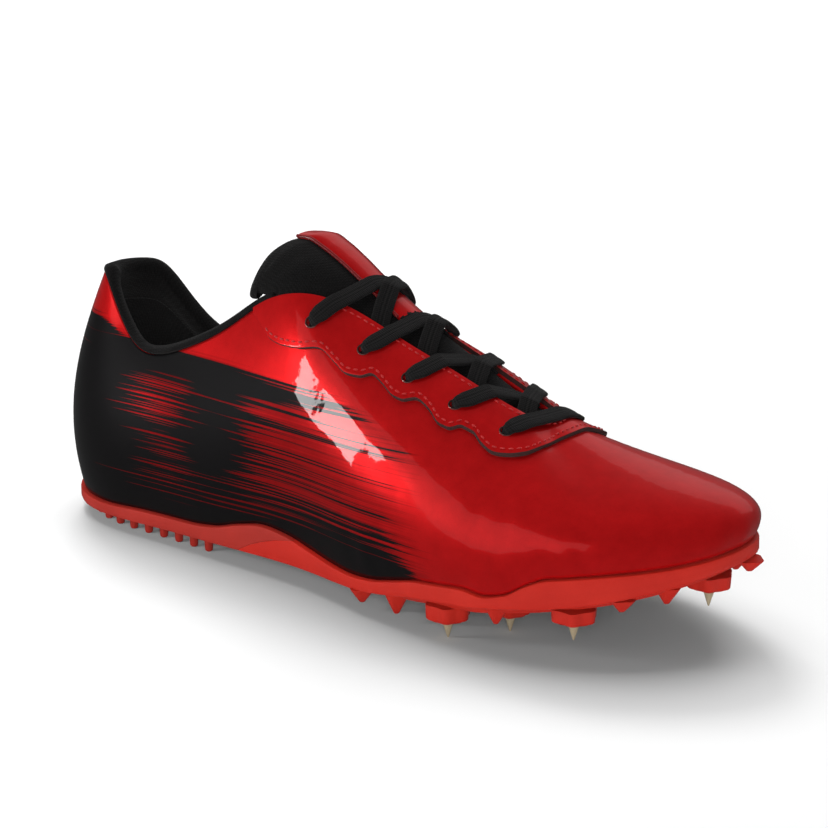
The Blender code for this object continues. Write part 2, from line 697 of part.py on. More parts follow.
def make_spike_plate(parts, cutters, material):
    body = new_object("spike_plate", *loop_body(sole_profile(AROUND)), parts, material)
    join_by(body, lap_cutter("lap of the plate", CLEARANCE, cutters), "INTERSECT")
    studs = []
    sockets = []
    for name in HOUSINGS:
        centre, face, under = housing_place(name)
        top = inside_sole(centre[0], HOUSING_RADIUS)
        profile = [
            (0.80 * HOUSING_RADIUS, face),
            (0.96 * HOUSING_RADIUS, face + 0.2 * HOUSING_HEIGHT),
            (HOUSING_RADIUS, top),
        ]
        studs.append(turned(centre, profile, 12, 6, 0.07))
        bore = SHANK_RADIUS + CLEARANCE
        depth = SHANK_LENGTH + CLEARANCE
        sockets.append(turned(centre, [(bore, face - 0.001), (bore, face + depth)], 8))
    for along, out, size in LUGS:
        centre = (along * LENGTH - ORIGIN[0], out * 0.5 * BALL_WIDTH)
        under = under_at(centre[0], keel=False)
        tip = max(under - size * LUG_HEIGHT, 2.0 * CLEARANCE)
        top = inside_sole(centre[0], LUG_RADIUS)
        profile = [(0.18 * LUG_RADIUS, tip), (LUG_RADIUS, 0.5 * (under + top)), (LUG_RADIUS, top)]
        studs.append(turned(centre, profile, 6))
    join_by(body, new_cutter("housings and lugs", *join_meshes(studs), cutters), "UNION")
    join_by(body, new_cutter("pin sockets", *join_meshes(sockets), cutters), "DIFFERENCE")
    return body


def make_pins(parts, material):
    """Steel pins: a shank in the socket, a shoulder under the housing and a pointed end."""
    for name in HOUSINGS:
        centre, face, under = housing_place(name)
        shoulder = face - CLEARANCE
        tip = shoulder - PIN_LENGTH
        profile = [
            (PIN_TIP_RADIUS, tip),
            (0.80 * PIN_RADIUS, shoulder - 0.18 * PIN_LENGTH),
            (PIN_RADIUS, shoulder - 0.14 * PIN_LENGTH),
            (PIN_RADIUS, shoulder),
            (SHANK_RADIUS, shoulder),
            (SHANK_RADIUS, shoulder + SHANK_LENGTH),
        ]
        new_object(f"pin_{name}", *turned(centre, profile, 8), parts, material)


def make_insole(parts, material):
    inset = LIP_WIDTH + LIP_SLOPE + 2.0 * CLEARANCE
    at = AROUND[::2]
    low, top = CLEARANCE, CLEARANCE + INSOLE_THICKNESS
    corners = ((1.0, top), (0.45, top), (0.0, top), (0.0, low), (0.45, low), (1.0, low))
    profile = np.stack([bed_points(at, inset, share, 3, lift) for share, lift in corners], axis=1)
    return new_object("insole", *loop_body(seat(profile)), parts, material)


def rib_grid(at, shares, proud):
    """Points of the upper, a column for each share; shares may differ from rib to rib."""
    columns = shares.T if shares.ndim == 2 else [np.full(len(at), share) for share in shares]
    return np.stack([LAST.rib(at, column, proud) for column in columns], axis=1)


def eyelet_places():
    """Each eyelet: its side, its middle on the upper and the direction out of the upper."""
    places = []
    for side in (-1, 1):
        for i in range(EYELETS):
            along = EYELET_FIRST + (EYELET_LAST - EYELET_FIRST) * i / (EYELETS - 1)
            at = np.array([LAST.edge_place(along, side)])
            share = LAST.share_below_edge(at, EYELET_INSET)
            places.append((side, i, LAST.rib_point(at, share)[0], LAST.rib_normal(at, share)[0]))
    return places


def round_ring(centre, normal, radius, sides):
    """Points of a circle about a line."""
    turn = Vector((0.0, 0.0, 1.0)).rotation_difference(Vector(normal)).to_matrix()
    angle = 2.0 * np.pi * np.arange(sides) / sides
    flat = np.column_stack([np.cos(angle), np.sin(angle), np.zeros(sides)]) * radius
    return flat @ np.array(turn).T + centre


def eyelet_cutter(cutters):
    holes = []
    reach = 3.0 * UPPER_WALL
    for _, _, centre, normal in eyelet_places():
        low = round_ring(centre - normal * reach, normal, EYELET_RADIUS, 8)
        high = round_ring(centre + normal * reach, normal, EYELET_RADIUS, 8)
        holes.append(tube(seat(np.array([low, high]))))
    return new_cutter("eyelets", *join_meshes(holes), cutters)


def make_upper(parts, holes, material):
    shares = np.array(RIB_SHARES)
    outer = rib_grid(AROUND, shares, 0.0)
    inner = rib_grid(AROUND, shares, -UPPER_WALL)
    upper = new_object("upper", *slab(seat(outer), seat(inner), wrap=True), parts, material)
    join_by(upper, holes, "DIFFERENCE")
    return upper


def eyestay_run():
    """Places from the eyestay's lateral end round the throat to its medial end.

    They are those of the upper, with more between them so that the scallops come out round.
    """
    first = LAST.edge_place(EYESTAY_END, -1)
    last = LAST.edge_place(EYESTAY_END, 1)
    step = AROUND[1] / 2.0
    between = np.arange(math.ceil(first / step + 0.2), math.floor(last / step - 0.2) + 1)
    beyond = LAST.read(LAST.rib_rows, between * step)[:, 0] > (EYELET_LAST + 0.01) * LENGTH
    between = between[~beyond | (between % 2 == 0)] * step
    return np.concatenate([[first], between, [last]])


def eyestay_depth(at):
    """How far below the edge the eyestay reaches: a lobe under each eyelet, less at the throat."""
    edge = LAST.rib_point(at, np.ones(len(at)))[:, 0] / LENGTH
    pitch = (EYELET_LAST - EYELET_FIRST) / (EYELETS - 1)
    lobe = np.abs(np.cos(np.pi * (edge - EYELET_FIRST) / pitch))
    beyond = smooth_step(edge, EYELET_LAST, EYELET_LAST + 0.3 * pitch)
    lobe = lobe * (1.0 - beyond) + 0.6 * beyond
    middle = 0.5 * (LAST.edge_place(EYESTAY_END, -1) + LAST.edge_place(EYESTAY_END, 1))
    throat = 1.0 - smooth_step(np.abs(at - middle) / LAST.period, 0.02, 0.13)
    depth = EYESTAY_DEPTH - SCALLOP_DEPTH * (1.0 - lobe) - 0.30 * EYESTAY_DEPTH * throat
    start = smooth_step(edge, EYESTAY_END - 0.004, EYELET_FIRST + 0.004)
    return depth * (0.12 + 0.88 * start)


def make_eyestay(parts, holes, material):
    at = eyestay_run()
    low = LAST.share_below_edge(at, eyestay_depth(at))
    steps = np.linspace(0.0, 1.0, 3)
    shares = low[:, None] + (1.0 - low[:, None]) * steps
    outer = rib_grid(at, shares, 1.9 * CLEARANCE + EYESTAY_THICKNESS)
    inner = rib_grid(at, shares, 1.9 * CLEARANCE)
    eyestay = new_object("eyestay", *slab(seat(outer), seat(inner)), parts, material)
    join_by(eyestay, holes, "DIFFERENCE")
    return eyestay


def make_cuff(parts, material):
    """The padded collar: a rolled edge on the upper's rim, and a pad down the inside."""
    first = LAST.edge_place(CUFF_END, -1)
    last = LAST.edge_place(CUFF_END, 1) - LAST.period
    at = np.concatenate([AROUND - LAST.period, AROUND])
    at = at[(at > last) & (at < first)]
    ones = np.ones(len(at))
    edge = LAST.rib_point(at, ones)
    normal = LAST.rib_normal(at, ones)
    up = edge - LAST.rib_point(at, ones - 0.02)
    up /= np.linalg.norm(up, axis=1)[:, None]
    inside = UPPER_WALL + 3.4 * CLEARANCE
    from_end = np.minimum(at[-1] - at, at - at[0]) / (at[-1] - at[0])
    full = 0.5 + 0.5 * smooth_step(from_end, 0.0, 0.12)
    section = (
        # outward, above the edge: shares of CUFF_WIDTH and CUFF_HEIGHT
        (0.0, 0.22), (0.06, 0.46), (-0.02, 0.78), (-0.35, 1.00), (-0.75, 0.80), (-1.0, 0.20),
    )
    columns = []
    for out, above in section:
        out = np.where(out < -0.5, out * full, out * np.minimum(full + 0.3, 1.0))
        columns.append(edge + normal * (out * CUFF_WIDTH)[:, None] + up * (above * CUFF_HEIGHT))
    for out, below in ((-1.0, 0.5), (-0.80, 1.0), (0.0, 1.0), (0.0, 0.55), (0.0, 0.2)):
        share = LAST.share_below_edge(at, below * CUFF_DEPTH)
        least = inside + CLEARANCE + (0.3 * CUFF_WIDTH if out else 0.0)
        level = np.minimum(out * full * CUFF_WIDTH, -least)
        columns.append(LAST.rib_point(at, share) + LAST.rib_normal(at, share) * level[:, None])
    columns.append(edge - normal * inside + up * 0.22 * CUFF_HEIGHT)
    return new_object("collar_cuff", *tube(seat(np.stack(columns, axis=1))), parts, material)


def tongue_surface(place, across):
    """Points and outward directions on the tongue's face.

    place runs from 0 at the vamp to 1 at the top, across from -1 to 1 over the width.
    """
    rows = np.linspace(0.0, 1.0, len(TONGUE))
    along, rise, width, sag, pad = (soft_interp(place, rows, column) for column in TONGUE.T)
    step = 0.01
    ahead, behind = np.minimum(place + step, 1.0), np.maximum(place - step, 0.0)
    run_x = soft_interp(ahead, rows, TONGUE[:, 0]) - soft_interp(behind, rows, TONGUE[:, 0])
    run_z = soft_interp(ahead, rows, TONGUE[:, 1]) - soft_interp(behind, rows, TONGUE[:, 1])
    run_x, run_z = run_x * LENGTH, run_z * INSTEP_HEIGHT
    size = np.hypot(run_x, run_z)
    face = np.column_stack([run_z / size, np.zeros(len(size)), -run_x / size])
    half = 0.5 * width * TONGUE_WIDTH
    middle = np.column_stack([along * LENGTH, np.zeros(len(along)), rise * INSTEP_HEIGHT])
    reach = across * half
    tilt = TONGUE_TILT * (1.0 - smooth_step(place, 0.50, 0.70))
    points = middle + np.column_stack([np.zeros(len(half)), reach, -tilt * reach])
    points -= face * (sag * width * TONGUE_WIDTH * across**2)[:, None]
    lean = 2.0 * sag * width * TONGUE_WIDTH * across / half
    out = face + np.column_stack([np.zeros(len(half)), lean, np.zeros(len(half))])
    return points, out / np.linalg.norm(out, axis=1)[:, None], pad * TONGUE_PAD


def tongue_grid(places, acrosses, level):
    """A grid on the tongue's face, moved out by level."""
    columns = []
    for across in acrosses:
        points, out, _ = tongue_surface(places, np.full(len(places), across))
        columns.append(points + out * level)
    return seat(np.stack(columns, axis=1))


def make_tongue(parts, material):
    """A padded tongue: its section goes over the face, round each edge and across the back."""
    places = np.linspace(0.0, 1.0, 17)
    section = (
        # across, share of the pad below the face
        (-1.00, 0.35), (-0.92, 0.08), (-0.62, 0.00), (-0.31, 0.00), (0.00, 0.00), (0.31, 0.00),
        (0.62, 0.00), (0.92, 0.08), (1.00, 0.35), (0.92, 0.80), (0.60, 1.00), (0.00, 1.00),
        (-0.60, 1.00), (-0.92, 0.80),
    )
    columns = []
    for across, below in section:
        points, out, pad = tongue_surface(places, np.full(len(places), across))
        columns.append(points - out * (pad * below)[:, None])
    return new_object("tongue", *tube(seat(np.stack(columns, axis=1))), parts, material)


def make_tongue_panel(parts, material):
    places = np.linspace(*PANEL_SPAN, 12)
    reach = PANEL_WIDTH / TONGUE_WIDTH
    acrosses = np.linspace(-reach, reach, 4)
    face = tongue_grid(places, acrosses, 2.0 * CLEARANCE + PANEL_THICKNESS)
    back = tongue_grid(places, acrosses, 2.0 * CLEARANCE)
    return new_object("tongue_panel", *slab(face, back), parts, material)


def tree_of(things):
    """A tree over the faces of several meshes, to find their heights with."""
    vertices = []
    faces = []
    for thing in things:
        start = len(vertices)
        vertices.extend(vertex.co[:] for vertex in thing.data.vertices)
        faces.extend([start + corner for corner in face.vertices] for face in thing.data.polygons)
    return BVHTree.FromPolygons(vertices, faces)


def pulled_tight(run, need):
    """The lowest line without a hollow that clears every height along its run."""
    keep = []
    for point in zip(run, need):
        while len(keep) > 1:
            (x0, z0), (x1, z1) = keep[-2], keep[-1]
            if (x1 - x0) * (point[1] - z0) - (z1 - z0) * (point[0] - x0) < 0.0:
                break
            keep.pop()
        keep.append(point)
    return np.interp(run, *zip(*keep))


def strap_path(points, up_ends, tree, lift, count):
    """A lace's line on a curve through four plan points, tight over what is below it.

    lift raises its middle, where it crosses another. Returns its points and outward directions.
    """
    t = np.linspace(0.0, 1.0, 4 * count - 3)[:, None]
    u = 1.0 - t
    a, b, c, d = points
    line = u**3 * a + 3.0 * u**2 * t * b + 3.0 * u * t**2 * c + t**3 * d
    up = u * up_ends[0] + t * up_ends[1]
    up /= np.linalg.norm(up, axis=1)[:, None]
    t = t[:, 0]
    side = np.cross(up, np.gradient(line, axis=0))
    side /= np.linalg.norm(side, axis=1)[:, None]
    need = np.full(len(t), -1.0)
    for i in range(len(t)):
        for across in (-0.5, -0.25, 0.0, 0.25, 0.5):
            offset = side[i] * (across * LACE_WIDTH)
            above = line[i] + offset
            hit = tree.ray_cast(Vector((above[0], above[1], 1.0)), Vector((0.0, 0.0, -1.0)))[0]
            if hit:
                need[i] = max(need[i], hit.z - offset[2])
    need += (0.5 * LACE_THICKNESS + 1.5 * CLEARANCE) / up[:, 2]
    need += lift * (1.0 - np.abs(2.0 * t - 1.0) ** 4)
    line[:, 2] = pulled_tight(t, need)
    return line[::4], up[::4]


def strap(path, up):
    """A flat lace along a path: a band with rounded edges."""
    run = np.gradient(path, axis=0)
    run /= np.linalg.norm(run, axis=1)[:, None]
    side = np.cross(up, run)
    side /= np.linalg.norm(side, axis=1)[:, None]
    out = np.cross(run, side)
    half, thick = 0.5 * LACE_WIDTH, 0.5 * LACE_THICKNESS
    section = ((-1.0, 0.0), (-0.72, 1.0), (0.72, 1.0), (1.0, 0.0), (0.72, -1.0), (-0.72, -1.0))
    rings = [path + side * (a * half) + out * (b * thick) for a, b in section]
    return tube(np.stack(rings, axis=1))


def throat_edge(along, side, past):
    """A point of the throat's edge, moved past it onto the upper, and the direction outwards."""
    at = np.array([LAST.edge_place(along, side)])
    share = LAST.share_below_edge(at, past)
    return seat(LAST.rib_point(at, share)[0]), seat(ORIGIN + LAST.rib_normal(at, share)[0])


def make_laces(parts, cutters, under, material):
    """Criss-cross laces over the throat and a bar at its foot, joined where they meet.

    Each goes from an eyelet over the edge above it to the other edge, by the next eyelet.
    """
    tree = tree_of(under)
    pitch = (EYELET_LAST - EYELET_FIRST) / (EYELETS - 1)
    ends = {}
    for side, i, centre, normal in eyelet_places():
        ends[side, i] = (seat(centre), seat(ORIGIN + normal))
    pieces = []
    for i in range(EYELETS - 1):
        for side, lift in ((-1, 0.0), (1, 0.8 * LACE_THICKNESS)):
            start, out = ends[side, i]
            along = EYELET_FIRST + (i + 1.22) * pitch
            finish, other = throat_edge(min(along, EYELET_LAST + 0.02), -side, 0.35 * EYELET_INSET)
            turn = start + np.array([0.75 * pitch * LENGTH, -0.55 * start[1], 0.0])
            before = finish + np.array([-0.12 * pitch * LENGTH, -0.9 * finish[1], 0.0])
            pieces.append(strap_path((start, turn, before, finish), (out, other), tree, lift, 9))
    (start, out), (finish, other) = ends[-1, EYELETS - 1], ends[1, EYELETS - 1]
    bow = np.array([0.35 * pitch * LENGTH, 0.0, 0.0])
    turn, before = start * (1.0, 0.4, 1.0) + bow, finish * (1.0, 0.4, 1.0) + bow
    pieces.append(strap_path((start, turn, before, finish), (out, other), tree, 0.0, 9))
    laces = new_object("laces", *strap(*pieces[0]), parts, material)
    for i, piece in enumerate(pieces[1:]):
        join_by(laces, new_cutter(f"lace {i + 1}", *strap(*piece), cutters), "UNION")
    return laces


def main():
    clear_scene()
    parts = new_collection("track_spike_shoe")
    cutters = new_collection("cutters")
    patent = new_material("red patent", (0.72, 0.012, 0.012), 0.18, 0.35)
    rubber = new_material("red rubber", (0.62, 0.035, 0.020), 0.48)
    plastic = new_material("orange red plastic", (0.74, 0.045, 0.018), 0.35)
    black_knit = new_material("black padded textile", (0.012, 0.011, 0.011), 0.90)
    black_foam = new_material("black insole cloth", (0.020, 0.020, 0.020), 0.85)
    black_lace = new_material("black lace", (0.010, 0.010, 0.010), 0.80)
    steel = new_material("pale steel", (0.66, 0.58, 0.42), 0.25, 1.0)
    holes = eyelet_cutter(cutters)
    make_heel_outsole(parts, cutters, rubber)
    make_spike_plate(parts, cutters, plastic)
    make_pins(parts, steel)
    make_insole(parts, black_foam)
    upper = make_upper(parts, holes, patent)
    eyestay = make_eyestay(parts, holes, patent)
    make_cuff(parts, black_knit)
    tongue = make_tongue(parts, black_knit)
    panel = make_tongue_panel(parts, patent)
    make_laces(parts, cutters, [upper, eyestay, tongue, panel], black_lace)


main()
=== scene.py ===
import math

import bmesh
import bpy
import numpy as np
from mathutils import Matrix, Vector
from mathutils.bvhtree import BVHTree


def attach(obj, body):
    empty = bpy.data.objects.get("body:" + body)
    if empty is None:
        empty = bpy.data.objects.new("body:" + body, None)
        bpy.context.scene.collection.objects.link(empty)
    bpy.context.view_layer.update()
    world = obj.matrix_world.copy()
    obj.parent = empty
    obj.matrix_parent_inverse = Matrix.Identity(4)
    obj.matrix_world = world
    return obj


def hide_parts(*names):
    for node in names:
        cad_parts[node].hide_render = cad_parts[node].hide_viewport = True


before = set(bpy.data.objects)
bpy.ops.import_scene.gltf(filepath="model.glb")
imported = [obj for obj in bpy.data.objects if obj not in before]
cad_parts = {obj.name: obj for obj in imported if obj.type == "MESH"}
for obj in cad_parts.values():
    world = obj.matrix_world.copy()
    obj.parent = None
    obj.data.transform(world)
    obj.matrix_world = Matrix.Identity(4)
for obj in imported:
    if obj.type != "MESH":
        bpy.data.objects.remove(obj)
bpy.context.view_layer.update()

# The camera
# The picture was taken from in front of the lateral side and a little above. The angle, the
# distance and the long lens were fitted to the shoe's own edges.
CAMERA_AT = (0.74605661, -0.82831583, 0.39914151)
CAMERA_RIGHT = (0.79218561, 0.61028023, 0.00003100)
CAMERA_UP = (-0.18892028, 0.24518311, 0.95089136)
CAMERA_BACK = (0.58030258, -0.75328832, 0.30952484)
LENS = 138.848

camera = bpy.data.objects.new("camera", bpy.data.cameras.new("camera"))
camera.data.lens = LENS
camera.data.sensor_width = 36.0
camera.data.clip_start = 0.05
camera.data.clip_end = 50.0
turned = Matrix((CAMERA_RIGHT, CAMERA_UP, CAMERA_BACK)).transposed().to_4x4()
camera.matrix_world = Matrix.Translation(CAMERA_AT) @ turned
bpy.context.scene.collection.objects.link(camera)
bpy.context.scene.camera = camera
bpy.context.scene.view_settings.view_transform = "Standard"


# The last and the upper
# The upper is one shell of pearly patent sheet, pulled over a last and lined with black cloth.
# A print of black speed lines runs back from the ball to the heel under the clear top coat.
LENGTH = 0.280
HEEL_WIDTH = 0.064
BALL_WIDTH = 0.097
HEEL_HEIGHT = 0.088
INSTEP_HEIGHT = 0.097
UPPER_WALL = 0.0018
UPPER_INSET = 0.0015
CLEARANCE = 0.0003
SOLE_THICKNESS = 0.010
TOE_SPRING = 0.0147
NUB_HEIGHT = 0.0050
HOUSING_HEIGHT = 0.0050
PIN_LENGTH = 0.0060
SIT_BACK = 0.0273
HEEL_MIDDLE = 0.04004

# along: share of the length; lateral, medial: shares of half the local width
OUTLINE = np.array([
    (0, 0, 0), (0.012, 0.41, 0.41), (0.045, 0.75, 0.75), (0.107, 0.965, 0.955), (0.161, 1, 0.985),
    (0.221, 1.01, 0.96), (0.286, 0.985, 0.88), (0.35, 0.92, 0.785), (0.411, 0.86, 0.71),
    (0.464, 0.845, 0.69), (0.511, 0.865, 0.73), (0.561, 0.905, 0.795), (0.618, 0.955, 0.875),
    (0.679, 1, 0.935), (0.739, 1.01, 0.97), (0.793, 0.98, 0.97), (0.857, 0.865, 0.895),
    (0.914, 0.68, 0.77), (0.962, 0.43, 0.59), (0.991, 0.17, 0.37), (1, -0.1, 0.1),
])
# along, rise, spring, bed, lateral lip, medial lip, keel
SOLE = np.array([
    (0, 0.1, 0, 0.4, 0.5, 0.52, 0), (0.04, 0.02, 0, 0.4, 0.47, 0.5, 0),
    (0.1, 0, 0, 0.4, 0.46, 0.5, 0), (0.18, 0, 0, 0.4, 0.54, 0.55, 0),
    (0.257, 0, 0, 0.41, 0.55, 0.62, 0), (0.3, 0, 0, 0.42, 0.66, 0.8, 0),
    (0.345, 0, 0, 0.43, 0.98, 1.1, 0), (0.386, 0, 0, 0.44, 1.17, 1.28, 0),
    (0.425, 0, 0, 0.44, 1.06, 1.22, 0), (0.464, 0, 0, 0.42, 0.83, 1, 0),
    (0.504, 0, 0, 0.4, 0.62, 0.78, 0), (0.546, 0.04, 0, 0.38, 0.5, 0.6, 0.03),
    (0.586, 0.22, 0, 0.36, 0.48, 0.54, 0.1), (0.618, 0.45, 0, 0.34, 0.54, 0.56, 0.18),
    (0.668, 0.8, 0, 0.33, 0.62, 0.6, 0.26), (0.732, 1, 0.02, 0.33, 0.62, 0.56, 0.28),
    (0.764, 1, 0.09, 0.32, 0.42, 0.52, 0.27), (0.79, 1, 0.15, 0.33, 0.5, 0.6, 0.24),
    (0.818, 1, 0.21, 0.35, 0.84, 0.8, 0.2), (0.843, 1, 0.27, 0.37, 1.02, 0.96, 0.17),
    (0.896, 1, 0.44, 0.38, 0.96, 0.94, 0.15), (0.943, 1, 0.66, 0.38, 0.78, 0.78, 0.14),
    (0.971, 1, 0.82, 0.38, 0.64, 0.66, 0.12), (1, 1, 1, 0.38, 0.52, 0.52, 0.08),
])
# edge along, out, rise, belly, stand, lean, drop: the rib at each row of OUTLINE
LATERAL_RIBS = np.array([
    (0.053, 0, 1.022, 0.24, 0.35, 1.1, 0.36), (0.06, 0.29, 1.03, 0.24, 0.35, 1.05, 0.36),
    (0.079, 0.485, 1.03, 0.22, 0.35, 1, 0.35), (0.111, 0.61, 0.905, 0.2, 0.35, 0.98, 0.33),
    (0.146, 0.72, 0.8, 0.18, 0.35, 0.95, 0.31), (0.189, 0.78, 0.765, 0.16, 0.36, 0.92, 0.3),
    (0.25, 0.78, 0.805, 0.15, 0.38, 0.9, 0.28), (0.314, 0.69, 0.88, 0.14, 0.4, 0.88, 0.25),
    (0.375, 0.59, 0.978, 0.13, 0.42, 0.86, 0.22), (0.429, 0.5, 1.016, 0.13, 0.44, 0.84, 0.19),
    (0.468, 0.365, 0.985, 0.14, 0.45, 0.8, 0.17), (0.511, 0.28, 0.928, 0.15, 0.46, 0.74, 0.15),
    (0.571, 0.255, 0.858, 0.16, 0.45, 0.66, 0.13), (0.629, 0.235, 0.794, 0.16, 0.42, 0.58, 0.11),
    (0.679, 0.21, 0.732, 0.17, 0.42, 0.54, 0.11), (0.709, 0.175, 0.692, 0.18, 0.46, 0.53, 0.14),
    (0.725, 0.115, 0.662, 0.2, 0.5, 0.55, 0.23), (0.732, 0.06, 0.648, 0.21, 0.53, 0.58, 0.4),
    (0.7355, 0.02, 0.64, 0.22, 0.59, 0.6, 0.46), (0.7375, -0.018, 0.636, 0.24, 0.62, 0.61, 0.49),
    (0.738, -0.052, 0.635, 0.25, 0.63, 0.61, 0.51),
])
MEDIAL_RIBS = np.array([
    (0.053, 0, 1.022, 0.24, 0.35, 1.1, 0.36), (0.06, 0.29, 1.01, 0.24, 0.35, 1.05, 0.36),
    (0.077, 0.5, 0.98, 0.22, 0.35, 1, 0.35), (0.104, 0.69, 0.845, 0.2, 0.35, 0.98, 0.33),
    (0.136, 0.8, 0.73, 0.17, 0.35, 0.95, 0.31), (0.182, 0.83, 0.685, 0.15, 0.36, 0.92, 0.3),
    (0.243, 0.815, 0.72, 0.14, 0.38, 0.9, 0.28), (0.31, 0.72, 0.81, 0.13, 0.4, 0.88, 0.25),
    (0.373, 0.61, 0.915, 0.13, 0.42, 0.86, 0.22), (0.429, 0.505, 0.965, 0.13, 0.44, 0.84, 0.19),
    (0.468, 0.375, 0.93, 0.14, 0.45, 0.8, 0.17), (0.511, 0.3, 0.874, 0.15, 0.45, 0.74, 0.16),
    (0.571, 0.28, 0.808, 0.15, 0.42, 0.67, 0.15), (0.629, 0.265, 0.742, 0.15, 0.37, 0.61, 0.21),
    (0.679, 0.245, 0.686, 0.15, 0.33, 0.57, 0.29), (0.709, 0.22, 0.656, 0.16, 0.33, 0.56, 0.36),
    (0.725, 0.188, 0.644, 0.17, 0.38, 0.57, 0.42), (0.732, 0.155, 0.64, 0.19, 0.46, 0.58, 0.47),
    (0.7355, 0.125, 0.637, 0.22, 0.54, 0.6, 0.49), (0.7375, 0.09, 0.635, 0.24, 0.6, 0.61, 0.51),
    (0.738, 0.052, 0.635, 0.25, 0.63, 0.61, 0.51),
])
# The print of speed lines: soft patches of ink on the side, in mm ahead of the heel's middle and
# above the floor: x, height, reach along, reach up, strength
INK_PATCHES = (
    (-24, 34, 27, 12, 0.3), (-16, 58, 11, 14, 0.26), (45, 48, 14, 18, 0.42),
    (40, 67, 50, 4.5, 0.48), (10, 14, 52, 9, 0.16), (108, 13, 56, 9.5, 0.95),
    (16, 53, 17, 8, -0.06), (75, 36, 40, 12, 0.03),
)
INK_AT_HEEL = 0.66
INK_FADE = 0.0019
INK_SLANT = 0.02
# Noises of the print: scale along, across and up, detail, roughness, weight
PRINT_LINES = (
    ((5.5, 4.0, 1250.0), 2.0, 0.6, 0.60), ((4.5, 4.0, 300.0), 1.0, 0.5, 0.20),
    ((9.0, 4.0, 2100.0), 0.0, 0.5, 0.20),
)
# The eyelets: edge along, distance below the edge
EYELET_PLACES = (
    (0.441, 0.0099), (0.508, 0.0130), (0.577, 0.0132), (0.6435, 0.0135), (0.704, 0.0135),
)
EYELETS = len(EYELET_PLACES)
EYELET_RADIUS = 0.0021
PUNCH_REACH = 0.0054
PUNCH_SIDES = 32
AROUND_FINE = 520
UP_FINE = 64
FRONT_RIPPLE = 0.00016
WAIST_RIPPLE = 0.00012
BALL_TROUGH = 0.00045
HARD_ANGLE = 38.0


def smooth_step(value, start, end):
    """Rises from 0 at start to 1 at end, level at both."""
    share = np.clip((value - start) / (end - start), 0.0, 1.0)
    return share * share * (3.0 - 2.0 * share)


def half_width(along):
    """Half the heel's width at the back, passing into half the ball's width."""
    return 0.5 * (HEEL_WIDTH + (BALL_WIDTH - HEEL_WIDTH) * smooth_step(along, 0.20, 0.60))


def soft_interp(at, knots, values):
    """A cubic through the values whose slope is the harmonic mean of the two rates beside a row."""
    at = np.clip(np.asarray(at, dtype=float), knots[0], knots[-1])
    steps = np.diff(knots)
    rate = np.diff(values) / steps
    slope = np.zeros_like(values)
    same = rate[:-1] * rate[1:] > 0.0
    mean = 2.0 * rate[:-1] * rate[1:] / np.where(same, rate[:-1] + rate[1:], 1.0)
    slope[1:-1] = np.where(same, mean, 0.0)
    slope[0], slope[-1] = rate[0], rate[-1]
    i = np.clip(np.searchsorted(knots, at, side="right") - 1, 0, len(steps) - 1)
    t = (at - knots[i]) / steps[i]
    a = (1.0 + 2.0 * t) * (1.0 - t) ** 2 * values[i] + t * (1.0 - t) ** 2 * steps[i] * slope[i]
    b = t**2 * (3.0 - 2.0 * t) * values[i + 1] + t**2 * (t - 1.0) * steps[i] * slope[i + 1]
    return a + b


def unit(vectors):
    """Directions of length 1."""
    return vectors / np.linalg.norm(vectors, axis=-1, keepdims=True)


HALF_RUN = np.concatenate([[0.0], np.cumsum(np.hypot(
    np.diff(OUTLINE[:, 0] * LENGTH),
    np.diff(0.5 * (OUTLINE[:, 1] + np.abs(OUTLINE[:, 2])) * half_width(OUTLINE[:, 0])),
))])
TOE = HALF_RUN[-1]
PERIOD = 2.0 * TOE
KNOTS = np.concatenate([HALF_RUN, PERIOD - HALF_RUN[-2:0:-1]])


def both_sides(lateral, medial):
    """Rows from the heel along the lateral side to the toe, and back along the medial side."""
    return np.concatenate([lateral, medial[-2:0:-1]])


def rib_values(table, side):
    """The rows of a rib table in metres: edge point, belly, and its three shares."""
    along, out, rise, belly, stand, lean, drop = table.T
    wide = half_width(OUTLINE[:, 0])
    tall = HEEL_HEIGHT + (INSTEP_HEIGHT - HEEL_HEIGHT) * smooth_step(along, 0.15, 0.40)
    edge = side * out * half_width(along)
    return np.column_stack([along * LENGTH, edge, rise * tall, belly * wide, stand, lean, drop])


WIDE = half_width(OUTLINE[:, 0])
OUTLINE_ROWS = both_sides(
    np.column_stack([OUTLINE[:, 0] * LENGTH, -OUTLINE[:, 1] * WIDE]),
    np.column_stack([OUTLINE[:, 0] * LENGTH, OUTLINE[:, 2] * WIDE]),
)
RIB_ROWS = both_sides(rib_values(LATERAL_RIBS, -1.0), rib_values(MEDIAL_RIBS, 1.0))


def spline_bends(values):
    """The second derivatives at the knots of the smooth closed cubic through the values."""
    steps = np.diff(np.append(KNOTS, PERIOD))
    before = np.roll(steps, 1)
    count = np.arange(len(KNOTS))
    matrix = np.zeros((len(KNOTS), len(KNOTS)))
    matrix[count, count - 1] = before
    matrix[count, count] = 2.0 * (before + steps)
    matrix[count, (count + 1) % len(KNOTS)] = steps
    rate = (np.roll(values, -1, axis=0) - values) / steps[:, None]
    return np.linalg.solve(matrix, 6.0 * (rate - np.roll(rate, 1, axis=0)))


BENDS = {id(rows): spline_bends(rows) for rows in (OUTLINE_ROWS, RIB_ROWS)}


